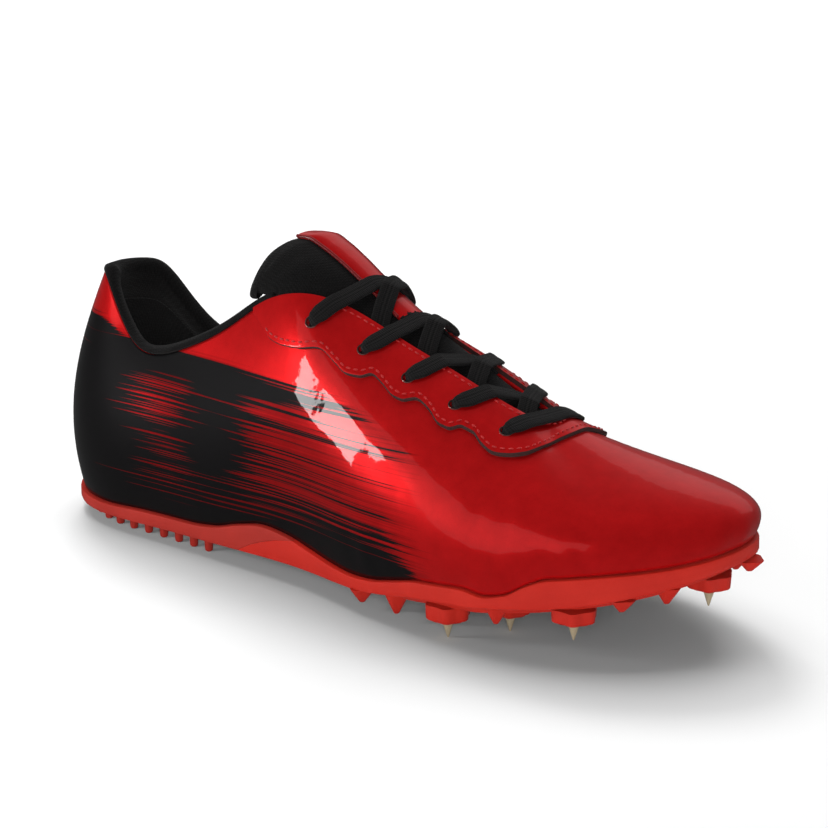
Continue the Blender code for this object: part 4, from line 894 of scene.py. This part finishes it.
def tongue_surface(place, across):
    """Points and outward directions on the tongue's face: a row of the table carried across."""
    rows = np.linspace(0.0, 1.0, len(TONGUE))
    along, rise, width, sag, pad = (soft_interp(place, rows, column) for column in TONGUE.T)
    ahead, behind = np.minimum(place + 0.01, 1.0), np.maximum(place - 0.01, 0.0)
    run_x, run_z = (
        (soft_interp(ahead, rows, TONGUE[:, k]) - soft_interp(behind, rows, TONGUE[:, k])) * size
        for k, size in ((0, LENGTH), (1, INSTEP_HEIGHT))
    )
    size = np.hypot(run_x, run_z)
    face = np.column_stack([run_z / size, np.zeros(len(size)), -run_x / size])
    spread = smooth_step(place, *WING_SPAN) * (across < 0.0)
    near_top = np.clip((place - CORNER_START) / 0.0705, 0.0, 1.0)
    corner = 1.0 - CORNER_ROUND * (1.0 - np.sqrt(1.0 - near_top**2))
    half = 0.5 * width * TONGUE_WIDTH * (1.0 + WING * spread) * corner
    reach = across * half
    tilt = TONGUE_TILT * (1.0 - smooth_step(place, 0.50, 0.70))
    points = np.column_stack([along * LENGTH, reach, rise * INSTEP_HEIGHT - tilt * reach])
    points[:, 0] -= SWEEP * np.abs(across) ** 1.5 * smooth_step(place, 0.60, 1.0) * (across < 0.0)
    sag = sag * (1.0 - MEDIAL_FLATNESS * smooth_step(place, 0.40, 0.70) * (across > 0.0))
    sag = sag * (1.0 + 0.38 * smooth_step(place, 0.70, 0.95) * (across < 0.0))
    bend = 2.0 + WING_BEND * spread
    points -= face * (sag * width * TONGUE_WIDTH * np.abs(across) ** bend)[:, None]
    lean = np.sign(across) * np.abs(across) ** (bend - 1.0)
    lean = bend * sag * width * TONGUE_WIDTH * lean / half
    return points, unit(face + np.column_stack([0.0 * lean, lean, 0.0 * lean])), pad * TONGUE_PAD


places = np.linspace(0.0, 1.0, 160)
columns, middles = [], []
for across, below in TONGUE_SECTION:
    points, out, pad = tongue_surface(places, np.full(len(places), across))
    columns.append(points - out * (pad * below)[:, None])
    middles.append(points - out * (pad * 0.5)[:, None])
columns, middles = np.stack(columns, axis=1), np.stack(middles, axis=1)
section, middle = close_smooth(columns, TONGUE_SIDES), close_smooth(middles, TONGUE_SIDES)
top = np.sqrt(1.0 - np.clip((places - 0.975) / 0.0255, 0.0, 1.0) ** 2)[:, None, None]
tongue_points = seat(middle + (section - middle) * top)
tongue_cloth = black_cloth("tongue_cloth", 1450.0, colour=(0.0070, 0.0066, 0.0066), depth=0.0003)
tongue = face_out(put_mesh("tongue_pad", *closed_tube(tongue_points), [tongue_cloth]), hard=None)
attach(tongue, "root")
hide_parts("tongue")


# The tongue panel
# A strip of red patent sewn down the middle of the tongue, bound with a thin dark red piping.
# It is left bare.
PANEL_WIDTH = 0.015
PANEL_THICKNESS = 0.0010
PANEL_SPAN = (0.42, 0.985)
PANEL_SHIFT = 0.24
PANEL_RED_END = 0.105
PIPING_RADIUS = 0.00065

places = np.linspace(*PANEL_SPAN, 160)
shift = PANEL_SHIFT * smooth_step(places, 0.30, 0.60)
widths = np.linspace(-1.0, 1.0, 25)
lifts = 2.0 * CLEARANCE + PANEL_THICKNESS * (1.0 - 0.55 * np.abs(widths) ** 8)
faces_of_panel = [[], []]
for width, lift in zip(widths, lifts):
    points, out, _ = tongue_surface(places, width * PANEL_WIDTH / TONGUE_WIDTH + shift)
    faces_of_panel[0].append(points + out * lift)
    faces_of_panel[1].append(points + out * 0.0001)
outside, inside = (seat(np.stack(columns, axis=1)) for columns in faces_of_panel)
panel_materials = [patent_plain, patent_edge, patent_edge, tongue_cloth]
panel = face_out(shell("tongue_strip", outside, inside, panel_materials))
middles = np.zeros(3 * len(panel.data.polygons))
panel.data.polygons.foreach_get("center", middles)
middles = middles.reshape(-1, 3)
kinds = np.zeros(len(middles), dtype=np.int32)
panel.data.polygons.foreach_get("material_index", kinds)
wave = 0.0011 * np.abs(np.sin(middles[:, 1] / PANEL_WIDTH * 4.0 * np.pi))
kinds = np.where(middles[:, 0] > PANEL_RED_END + wave, 3, kinds)
panel.data.polygons.foreach_set("material_index", kinds)
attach(panel, "root")
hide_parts("tongue_panel")


def sweep_round(path, radius, sides=10):
    """A round cord along a path: circles square to the run, shrunk at its ends."""
    run = unit(np.gradient(path, axis=0))
    side = unit(np.cross(run, (0.0, 0.0, 1.0)))
    angle = (2.0 * np.pi * np.arange(sides) / sides)[:, None]
    size = np.full((len(path), 1, 1), radius)
    size[[0, -1]] = radius * 0.02
    ring = side[:, None] * np.cos(angle) + np.cross(side, run)[:, None] * np.sin(angle)
    return (path[:, None] + ring * size).reshape(-1, 3), tube_quads(len(path), sides)


piping = grained(
    "dark_red_piping", (0.16, 0.006, 0.008), 0.40, (0.10, 0.003, 0.004), (0.26, 0.010, 0.012),
    (1800.0, 2.0), (0.0001, 0.6), Coat_Weight=0.5,
)
cords = []
for side in (-1.0, 1.0):
    points, out, _ = tongue_surface(places, side * PANEL_WIDTH / TONGUE_WIDTH + shift)
    path = seat(points + out * 0.0009)
    cords.append(sweep_round(path[path[:, 0] < PANEL_RED_END], PIPING_RADIUS))
trim = face_out(put_mesh("panel_piping", *join_arrays(cords), [piping]))
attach(trim, "root")


# The laces
# Flat woven laces, black and ribbed along their length. Each comes up through an eyelet, crosses
# over the throat and goes down beside the next eyelet; a bar joins the last two.
LACE_WIDTH = 0.0067
LACE_THICKNESS = 0.0014
LACE_SIDES = 36
LACE_AT_HOLE = 0.56
LACE_OPENS = (0.0026, 0.0090)
# how far along a lace meets the other edge of the throat and its own, in shares of the length
LACE_AHEAD = {-1: 0.043, 1: 0.074}
LACE_OWN_AHEAD = 0.036
THROAT_UP = np.array([0.35, 0.0, 0.94])
HOLE_BEND = 0.0011


def lay_ground(pieces):
    """The faces of several pieces, for laces to lie on."""
    vertices, polygons = [], []
    for piece in pieces:
        start = len(vertices)
        vertices += [vertex.co[:] for vertex in piece.data.vertices]
        polygons += [[start + corner for corner in face.vertices] for face in piece.data.polygons]
    return BVHTree.FromPolygons(vertices, polygons)


grounds = [lay_ground((upper, eyestay, tongue, panel))]


def pulled_tight(run, need):
    """The lowest line without a hollow that clears every height along its run."""
    keep = []
    for point in zip(run, need):
        while len(keep) > 1:
            (x0, z0), (x1, z1) = keep[-2], keep[-1]
            if (x1 - x0) * (point[1] - z0) - (z1 - z0) * (point[0] - x0) < 0.0:
                break
            keep.pop()
        keep.append(point)
    return np.interp(run, *zip(*keep))


def blend(corners, t):
    """The cubic Bezier of four corners, at t."""
    t = t[:, None]
    a, b, c, d = corners
    return (1.0 - t) ** 3 * a + 3.0 * (1.0 - t) ** 2 * t * b + 3.0 * (1.0 - t) * t**2 * c + t**3 * d


def draped(corners, ups, count=61):
    """A Bezier line in plan laid on what is below it; its ups turn with it."""
    t = np.linspace(0.0, 1.0, count)
    line, up = blend(corners, t), unit(blend(ups, t))
    side = unit(np.cross(up, np.gradient(line, axis=0)))
    need = np.full(count, -1.0)
    for i in range(count):
        for across in (-0.42, -0.2, 0.0, 0.2, 0.42):
            offset = side[i] * (across * LACE_WIDTH)
            above = Vector((line[i, 0] + offset[0], line[i, 1] + offset[1], 1.0))
            for ground in grounds:
                hit = ground.ray_cast(above, Vector((0.0, 0.0, -1.0)))[0]
                if hit:
                    need[i] = max(need[i], hit.z - offset[2])
    need += (0.5 * LACE_THICKNESS + 0.5 * CLEARANCE) / up[:, 2]
    need[0] = line[0, 2]
    line[:, 2] = pulled_tight(t, need)
    return line, up


def lace_band(path, up, width):
    """A flat band with rounded edges and a shallow rib down its middle, carried along a path."""
    run = unit(np.gradient(path, axis=0))
    side = unit(np.cross(up, run))
    angle = 2.0 * np.pi * np.arange(LACE_SIDES) / LACE_SIDES
    flat, thick = (np.sign(part) * np.abs(part) ** 0.55 for part in (np.cos(angle), np.sin(angle)))
    thick = thick * (1.0 - 0.16 * np.exp(-((flat / 0.22) ** 2)))
    half = 0.5 * width[:, None, None]
    points = path[:, None] + side[:, None] * (flat[:, None] * half)
    return points + np.cross(run, side)[:, None] * (thick[:, None] * 0.5 * LACE_THICKNESS)


ends = {}
for number, (side, centre, normal) in enumerate(eyelet_centres()):
    ends[side, number % EYELETS] = (seat(centre), seat_direction(normal))


def out_of_hole(hole, normal, ahead):
    """Rows of a lace that comes up through an eyelet and bends over its rim: points and ups."""
    ahead = unit(ahead - normal * (ahead @ normal))
    turns = np.radians([90.0, 90.0, 90.0, 60.0, 30.0])[:, None]
    ups = np.cos(turns) * normal - np.sin(turns) * ahead
    middle = hole + normal * (surface_lift + 0.5 * LACE_THICKNESS - HOLE_BEND)
    points = middle + HOLE_BEND * (ups + ahead)
    points -= normal * np.array([0.0034, 0.0017, 0.0, 0.0, 0.0])[:, None]
    return points, ups, middle + HOLE_BEND * (normal + ahead)


def throat_edge(along, side):
    """A point of the throat's edge, and the direction out of the upper there."""
    at = np.array([edge_place(along, side)])
    share = share_below_edge(at, 0.0004)
    return seat(rib_point(at, share)[0]), seat_direction(rib_normal(at, share)[0])


def crossing(number, side):
    """A lace from one eyelet over its own edge of the throat and down under the other edge."""
    hole, normal = ends[side, number]
    along = EYELET_PLACES[number][0]
    edge, other = throat_edge(along + LACE_AHEAD[side], -side)
    own = throat_edge(along + LACE_OWN_AHEAD, side)[1]
    rows, row_ups, start = out_of_hole(hole, normal, np.array([0.60, -0.55 * side, 0.45]))
    last = edge + np.array([-0.0004, side * 0.0026, 0.0])
    gap = last[0] - start[0]
    turn = start + np.array([0.0052 + 0.10 * gap, -0.30 * start[1], 0.0])
    before = last + np.array([-0.25 * gap, -0.75 * last[1], 0.0])
    ups = (normal, own, THROAT_UP, unit(THROAT_UP + 0.6 * other))
    line, up = draped((start, turn, before, last), ups)
    share = np.linspace(0.0, 1.0, 9)[1:]
    run = unit(line[-1] - line[-2])
    under = edge - other * (UPPER_WALL + 0.0022) - np.array([0.0, side * 0.0042, 0.0])
    before = under + other * 0.0024 + np.array([0.0, side * 0.002, 0.0])
    dive = blend((line[-1], line[-1] + run * 0.0016, before, under), share)
    ups = np.concatenate([row_ups, up, np.repeat(up[-1:], len(dive), axis=0)])
    return np.concatenate([rows, line, dive]), ups


lines = [crossing(number, -1) for number in range(EYELETS - 1)]
near_bands = []
for line, up in lines:
    points = lace_band(line[5:-8], up[5:-8], np.full(len(line) - 13, LACE_WIDTH))
    near_bands.append((points.reshape(-1, 3), tube_quads(*points.shape[:2])))
points, quads = join_arrays(near_bands)
grounds.append(BVHTree.FromPolygons(points.tolist(), quads.tolist()))
lines += [crossing(number, 1) for number in range(EYELETS - 1)]
(left, left_up), (right, right_up) = ends[-1, EYELETS - 1], ends[1, EYELETS - 1]
rows, row_ups, start = out_of_hole(left, left_up, np.array([0.5, 0.8, 0.3]))
back_rows, back_ups, finish = out_of_hole(right, right_up, np.array([0.5, -0.8, 0.3]))
bow = np.array([0.0030, 0.0, 0.0])
middle = [end * (1.0, 0.55, 1.0) + bow for end in (start, finish)]
line, up = draped((start, *middle, finish), (left_up, THROAT_UP, THROAT_UP, right_up))
line[-1] = finish
ups = np.concatenate([row_ups, up, back_ups[::-1]])
lines.append((np.concatenate([rows, line, back_rows[::-1]]), ups))

lace_cloth, tree, shader = new_material(
    "lace_cloth", (0.006, 0.006, 0.006), 0.78, Sheen_Weight=0.05, Sheen_Roughness=0.4,
    Specular_IOR_Level=0.2,
)
weave = add_node(tree, "UVMap", uv_map="weave").outputs["UV"]
ribs = {"Vector": weave, "Scale": 2.6, "Distortion": 0.4}
ribs = add_node(tree, "TexWave", ribs, bands_direction="Y").outputs["Fac"]
picks = {"Vector": weave, "Scale": 420.0, "Distortion": 1.2, "Detail": 1.0}
picks = add_node(tree, "TexWave", picks, bands_direction="X").outputs["Fac"]
height = weighed(tree, (ribs, 0.6), (picks, 0.5))
colour_by(tree, shader, height, (0.0025, 0.0025, 0.0025), (0.017, 0.016, 0.016))
bump_into(tree, shader, height, 0.00022, 0.9)

points, faces, uvs, start = [], [], [], 0
for line, up in lines:
    run = run_along(line)
    width = LACE_WIDTH * (LACE_AT_HOLE + (1.0 - LACE_AT_HOLE) * smooth_step(run, *LACE_OPENS))
    if line is lines[-1][0]:
        back = smooth_step(run[-1] - run, *LACE_OPENS)
        width = width * (LACE_AT_HOLE + (1.0 - LACE_AT_HOLE) * back)
    band, band_faces = closed_tube(lace_band(line, up, width))
    around = 4.0 * np.arange(LACE_SIDES) / LACE_SIDES
    uv = np.stack(np.broadcast_arrays(run[:, None], around), axis=-1).reshape(-1, 2)
    uvs += [uv, [[run[0], 0.0], [run[-1], 0.0]]]
    points.append(band)
    faces += [part + start for part in band_faces]
    start += len(band)
laces = put_mesh("woven_laces", np.concatenate(points), faces, [lace_cloth])
face_out(laces, hard=None, weld=False)
corners = np.zeros(len(laces.data.loops), dtype=np.int32)
laces.data.loops.foreach_get("vertex_index", corners)
uv = np.concatenate(uvs)[corners].astype(np.float32).ravel()
laces.data.uv_layers.new(name="weave").data.foreach_set("uv", uv)
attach(laces, "root")
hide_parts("laces")


# The insole
# A thin sheet of foam faced with black cloth lies in the bed of the sole. Its solid is kept.
insole_cloth = black_cloth("insole_cloth", 1100.0, colour=(0.009, 0.009, 0.009))
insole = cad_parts["insole"]
insole.data.materials.clear()
insole.data.materials.append(insole_cloth)


# The heel outsole
# A red rubber cup under the heel and waist. Its wall rises in a hump at the waist, it laps over
# the tail of the plate, and a row of small round nubs follows its edge.
LIP_WIDTH = 0.0045
EDGE_ROUND = 0.0014
NUB_RADIUS = 0.0015
NUB_PITCH = 0.0074
NUB_INSET = 0.0068
NUBS_END = 0.270
# along, share of SOLE_THICKNESS above the underside
LAP = np.array([
    (0.338, -0.60), (0.345, 0.10), (0.364, 0.38), (0.386, 0.62), (0.407, 0.80), (0.429, 0.92),
    (0.462, 1.10), (0.500, 1.60),
])


def keel(along):
    """How far the middle of the underside hangs below its edge."""
    return SOLE_THICKNESS * soft_interp(along, SOLE[:, 0], SOLE[:, 6])


def spine(at):
    """The line down the middle of the foot that each place on the outline faces."""
    x = np.clip(read(OUTLINE_ROWS, at)[:, 0], 0.12 * LENGTH, 0.83 * LENGTH)
    dense = np.linspace(0.02, 0.98, 97) * TOE
    lateral, medial = read(OUTLINE_ROWS, dense), read(OUTLINE_ROWS, PERIOD - dense)
    return np.column_stack([x, np.interp(x, lateral[:, 0], 0.5 * (lateral[:, 1] + medial[:, 1]))])


def bed_points(at, inset, share, column):
    """Points in from the outline by a distance, then a share of the way to the spine."""
    line, outward = outline(at)
    start = line - outward * inset
    plan = start + (spine(at) - start) * share
    along = plan[:, 0] / LENGTH
    level = underside(along) - keel(along) if column is None else sole_level(along, column)
    return np.column_stack([plan, level])


def sole_body(name, materials):
    """The sole's profile carried round: bed, lip, rounded side and underside, to the spine."""
    at = np.arange(420) / 420.0 * PERIOD
    line, outward = outline(at)
    top, low = lip(at), underside(line[:, 0] / LENGTH)
    tall = top - low
    columns = [bed_points(at, LIP_WIDTH + 0.0006, share, 3) for share in (1.0, 0.7, 0.45, 0.2, 0.0)]
    for inset, level in (
        (LIP_WIDTH, top), (0.5 * LIP_WIDTH, top), (0.35 * EDGE_ROUND, top),
        (0.08 * EDGE_ROUND, top - 0.2 * EDGE_ROUND), (0.0, top - 0.5 * EDGE_ROUND),
        (0.0, low + EDGE_ROUND + 0.66 * (tall - 1.5 * EDGE_ROUND)),
        (0.0, low + EDGE_ROUND + 0.33 * (tall - 1.5 * EDGE_ROUND)),
        (0.0, low + EDGE_ROUND), (0.28 * EDGE_ROUND, low + 0.3 * EDGE_ROUND),
        (EDGE_ROUND, low), (2.2 * EDGE_ROUND, low),
    ):
        columns.append(np.column_stack([line - outward * inset, level]))
    columns += [bed_points(at, 3.6 * EDGE_ROUND, share, None) for share in (0.0, 0.35, 0.7, 1.0)]
    grid = seat(np.stack(columns, axis=1))
    return face_out(put_mesh(name, grid, grid_quads(*grid.shape[:2], True), materials))


def lap_block(shift):
    """The plate's side of the lap as a block, moved along the shoe by shift."""
    xs = LAP[:, 0] * LENGTH + shift
    zs = underside(LAP[:, 0]) + LAP[:, 1] * SOLE_THICKNESS
    corners = [(xs[0], -0.02), *zip(xs, zs), (xs[-1], 0.06), (0.336, 0.06), (0.336, -0.02)]
    sections = np.array([[(x, y, z) for x, z in corners] for y in (-BALL_WIDTH, BALL_WIDTH)])
    around = np.arange(len(corners))[None]
    faces = [tube_quads(2, len(corners)), around, around + len(corners)]
    return face_out(put_mesh("lap", seat(sections), faces))


def sole_piece(name, material, shift, operation):
    """The sole's body cut along the lap, with its hard edges marked again."""
    piece = sole_body(name, [material])
    cut_by(piece, lap_block(shift), operation)
    piece.data.set_sharp_from_angle(angle=math.radians(HARD_ANGLE))
    return piece


def studs(name, centres, tops, size, profile, sides, material, lobes=0, lobe_share=0.0):
    """Studs on upright lines: rings of shares of their radius and height, lobed where asked.

    centres holds x, y and the level of the open end; tops the level where each is rooted.
    """
    angle = 2.0 * np.pi * np.arange(sides) / sides
    swell = 1.0 + lobe_share * np.cos(lobes * angle)
    radius, share = (np.array(profile) * (size, 1.0)).T[:, :, None]
    x, y, z = np.asarray(centres).T[:, :, None, None]
    z = z + (np.asarray(tops)[:, None, None] - z) * share
    x, y = x + radius * swell * np.cos(angle), y + radius * swell * np.sin(angle)
    points = np.stack([x, y, np.broadcast_to(z, x.shape)], axis=-1)
    return face_out(put_mesh(name, *repeated(points, tube_quads(len(profile), sides)), [material]))


def level_under(x, with_keel=True):
    """The underside's level over a place on the floor."""
    along = (np.asarray(x) + HEEL_MIDDLE) / LENGTH
    level = underside(along) - (keel(along) if with_keel else 0.0)
    return seat(np.stack([np.asarray(x) + HEEL_MIDDLE, np.zeros_like(x), level], axis=-1))[..., 2]


def moulded(name, low, high, roughness, scale):
    """Moulded rubber or plastic: a colour mottled at random, fine grain, and painted shade
    darkening the grain's hollows.
    """
    material, tree, shader = new_material(name, high, roughness, Specular_IOR_Level=0.22)
    cloud = noise(tree, 55.0, 4.0, 0.55)
    grain = noise(tree, scale, 2.0)
    # The grain's quarter of the mix darkens the hollows that the grain's bump makes: painted shade.
    colour_by(tree, shader, weighed(tree, (cloud, 0.75), (grain, 0.25)), low, high)
    rough = math_of(tree, "MULTIPLY_ADD", cloud, 0.22, roughness - 0.11)
    tree.links.new(rough, shader.inputs["Roughness"])
    bump_into(tree, shader, grain, 0.00008, 0.5)
    return material


heel_rubber = moulded("heel_rubber", (0.32, 0.018, 0.012), (0.56, 0.034, 0.022), 0.52, 1900.0)
heel = sole_piece("heel_cup", heel_rubber, 0.0, "DIFFERENCE")
dense = np.linspace(0.0, 1.0, 801) * TOE
lateral, medial = (read(OUTLINE_ROWS, at)[:, 0] / LENGTH for at in (dense, PERIOD - dense))
nub_ends = (-np.interp(NUBS_END, medial, dense), np.interp(NUBS_END, lateral, dense))
line, outward = outline(np.linspace(*nub_ends, 301))
row = line - outward * NUB_INSET
length = run_along(row)[-1]
nubs = points_at(row, np.linspace(0.0, length, max(round(length / NUB_PITCH), 4) + 1))
nubs = nubs - (HEEL_MIDDLE, 0.0)
nubs = np.concatenate([nubs, [(step * NUB_PITCH, 0.0) for step in (-1.5, 0.0, 1.5, 3.0)]])
nub_profile = [
    (0.0, 0.0), (0.62, 0.0), (0.9, 0.06), (1.0, 0.22), (1.05, 0.6), (1.3, 0.86), (1.6, 0.95),
    (0.0, 1.0),
]
roots = level_under(nubs[:, 0]) + 0.0005
centres = np.column_stack([nubs, 0.0 * roots])
heel_nubs = studs("heel_nubs", centres, roots, NUB_RADIUS, nub_profile, 20, heel_rubber)
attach(heel, "root")
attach(heel_nubs, "root")
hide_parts("heel_outsole")


# The spike plate
# A stiff moulded plate of orange red plastic under the forefoot, with pointed lugs, fins along
# its edge and six lobed housings for the pins.
HOUSING_RADIUS = 0.0074
LUG_RADIUS = 0.0042
LUG_HEIGHT = 0.0072
SHANK_RADIUS = 0.0017
# along: share of the length; out: share of half the ball width; stands on the floor
HOUSINGS = {
    "lateral_ball": (0.689, -0.820, True), "centre_ball": (0.736, -0.470, True),
    "medial_ball": (0.716, 0.720, True), "lateral_fore": (0.853, -0.680, False),
    "medial_fore": (0.818, 0.740, False), "toe": (0.953, 0.080, False),
}
# along, out, share of LUG_HEIGHT
LUGS = np.array([
    (0.556, -0.8, 0.72), (0.614, -0.84, 1.05), (0.764, -0.86, 0.95), (0.802, -0.48, 0.6),
    (0.905, -0.56, 0.62), (0.938, -0.31, 0.8), (0.99, 0.24, 0.55), (0.95, 0.44, 0.7),
    (0.88, 0.72, 0.8), (0.765, 0.9, 0.95), (0.655, 0.72, 1), (0.606, 0.6, 1.05), (0.556, 0.5, 0.75),
    (0.655, -0.3, 0.8), (0.64, 0.15, 0.8), (0.745, 0.18, 0.8), (0.85, 0.06, 0.75),
])

plate_plastic = moulded("plate_plastic", (0.46, 0.013, 0.008), (0.76, 0.032, 0.017), 0.38, 2400.0)
plate = sole_piece("forefoot_plate", plate_plastic, CLEARANCE, "INTERSECT")
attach(plate, "root")
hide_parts("spike_plate")

lug_x, lug_y = LUGS[:, 0] * LENGTH - HEEL_MIDDLE, LUGS[:, 1] * 0.5 * BALL_WIDTH
lug_root = level_under(lug_x, False)
lug_tip = np.maximum(lug_root - LUGS[:, 2] * LUG_HEIGHT, 2.0 * CLEARANCE)
lug_profile = [
    (0.0, 0.0), (0.12, 0.0), (0.24, 0.05), (0.48, 0.32), (0.74, 0.62), (1.0, 0.92), (1.12, 1.08),
    (0.0, 1.25),
]
centres = np.column_stack([lug_x, lug_y, lug_tip])
lugs = studs(
    "plate_lugs", centres, lug_root, LUG_RADIUS, lug_profile, 24, plate_plastic, lobes=4,
    lobe_share=0.10,
)
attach(lugs, "root")

along, out, grounded = np.array(list(HOUSINGS.values())).T
housing_x, housing_y = along * LENGTH - HEEL_MIDDLE, out * 0.5 * BALL_WIDTH
root = level_under(housing_x)
face = np.where(grounded > 0.0, PIN_LENGTH + CLEARANCE, root - HOUSING_HEIGHT)
shank = SHANK_RADIUS / HOUSING_RADIUS
housing_profile = [
    (shank, 0.5), (shank, 0.0), (0.66, 0.0), (0.72, 0.04), (0.78, 0.16), (0.94, 0.2),
    (0.98, 0.26), (1.0, 0.6), (1.01, 1.1), (shank, 1.2), (shank, 0.5),
]
centres = np.column_stack([housing_x, housing_y, face])
housings = studs(
    "pin_housings", centres, root, HOUSING_RADIUS, housing_profile, 72, plate_plastic, lobes=6,
    lobe_share=0.07,
)
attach(housings, "root")


# The pins
# Six turned pins of pale brassy steel, each with a shoulder against its housing and a sharp cone.
PIN_RADIUS = 0.0022
PIN_TIP_RADIUS = 0.0003

steel = grained(
    "pin_steel", (0.80, 0.62, 0.38), 0.30, (0.62, 0.44, 0.24), (0.95, 0.80, 0.58),
    (420.0, 3.0, 0.6), (0.00006, 0.6), (1.0, 1.0, 14.0), Metallic=0.45,
)
tip = PIN_TIP_RADIUS / PIN_RADIUS
pin_profile = [
    (0.0, 0.0), (0.6 * tip, 0.0), (tip, 0.02), (0.45, 0.4), (0.78, 0.8), (0.82, 0.84),
    (0.96, 0.86), (1.0, 0.88), (1.0, 0.98), (0.96, 1.0), (0.72, 1.0), (0.72, 1.4), (0.0, 1.4),
]
for name, x, y, level in zip(HOUSINGS, housing_x, housing_y, face):
    shoulder = level - CLEARANCE
    centre = [(x, y, shoulder - PIN_LENGTH)]
    pin = studs(f"steel_pin_{name}", centre, [shoulder], PIN_RADIUS, pin_profile, 32, steel)
    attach(pin, "root")
    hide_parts(f"pin_{name}")


# The studio
# A plain pale floor, soft lights overhead and behind, two cards and a strip close to the quarter
# that the patent mirrors, and a dim room. The red pieces throw no coloured light and the floor
# isn't mirrored, so that the shadow stays neutral and the blacks deep.
floor_paint = grained(
    "pale_floor", (0.92, 0.92, 0.92), 0.75, (0.90, 0.90, 0.90), (0.94, 0.94, 0.94), (3.0, 2.0),
    Specular_IOR_Level=0.1,
)
corners = [(-6, -6, 0), (6, -6, 0), (6, 6, 0), (-6, 6, 0)]
floor = put_mesh("floor", corners, np.array([(0, 1, 2, 3)]), [floor_paint], smooth=False)
floor.visible_glossy = False

world = bpy.data.worlds.new("room")
world.use_nodes = True
room = world.node_tree.nodes["Background"]
room.inputs["Color"].default_value = (1.0, 1.0, 1.0, 1.0)
room.inputs["Strength"].default_value = 0.10
bpy.context.scene.world = world
for piece in (upper, eyestay, panel, heel, heel_nubs, plate, lugs, housings):
    piece.visible_diffuse = False


def soft_light(name, at, target, size, power, mirrored, roll=0.0):
    """A rectangular soft light that faces a target; mirrored says whether glossy parts show it."""
    data = bpy.data.lights.new(name, "AREA")
    data.shape = "RECTANGLE"
    data.size, data.size_y = size
    data.energy = power
    light = bpy.data.objects.new(name, data)
    direction = Vector(target) - Vector(at)
    turn = direction.to_track_quat("-Z", "Y").to_matrix().to_4x4()
    turn = turn @ Matrix.Rotation(math.radians(roll), 4, "Z")
    light.matrix_world = Matrix.Translation(at) @ turn
    light.visible_camera = False
    light.visible_glossy = mirrored
    data.cycles.use_multiple_importance_sampling = mirrored
    bpy.context.scene.collection.objects.link(light)


floor_middle, shoe_middle = (0.1, 0.0, 0.0), (0.15, 0.0, 0.05)
soft_light("overhead", (-0.5, 0.7, 2.3), (0.1, 0.1, 0.0), (2.8, 2.8), 60.0, False)
soft_light("key", (-0.9, 0.8, 1.5), floor_middle, (0.6, 0.6), 14.0, False)
soft_light("fill", (0.9, -1.1, 0.35), (0.18, -0.02, 0.03), (0.5, 0.5), 6.5, False)
soft_light("back_card", (-0.65, 1.75, 0.95), shoe_middle, (2.6, 0.85), 2.2, True)
soft_light("front_card", (-0.2, -1.95, 0.80), shoe_middle, (2.2, 1.3), 5.0, True)
strip_at, strip_target = (-0.1121, -0.2514, 0.1119), (0.0529, -0.0399, 0.0334)
soft_light("side_box", strip_at, strip_target, (0.027, 0.140), 0.21, True, -31.8)
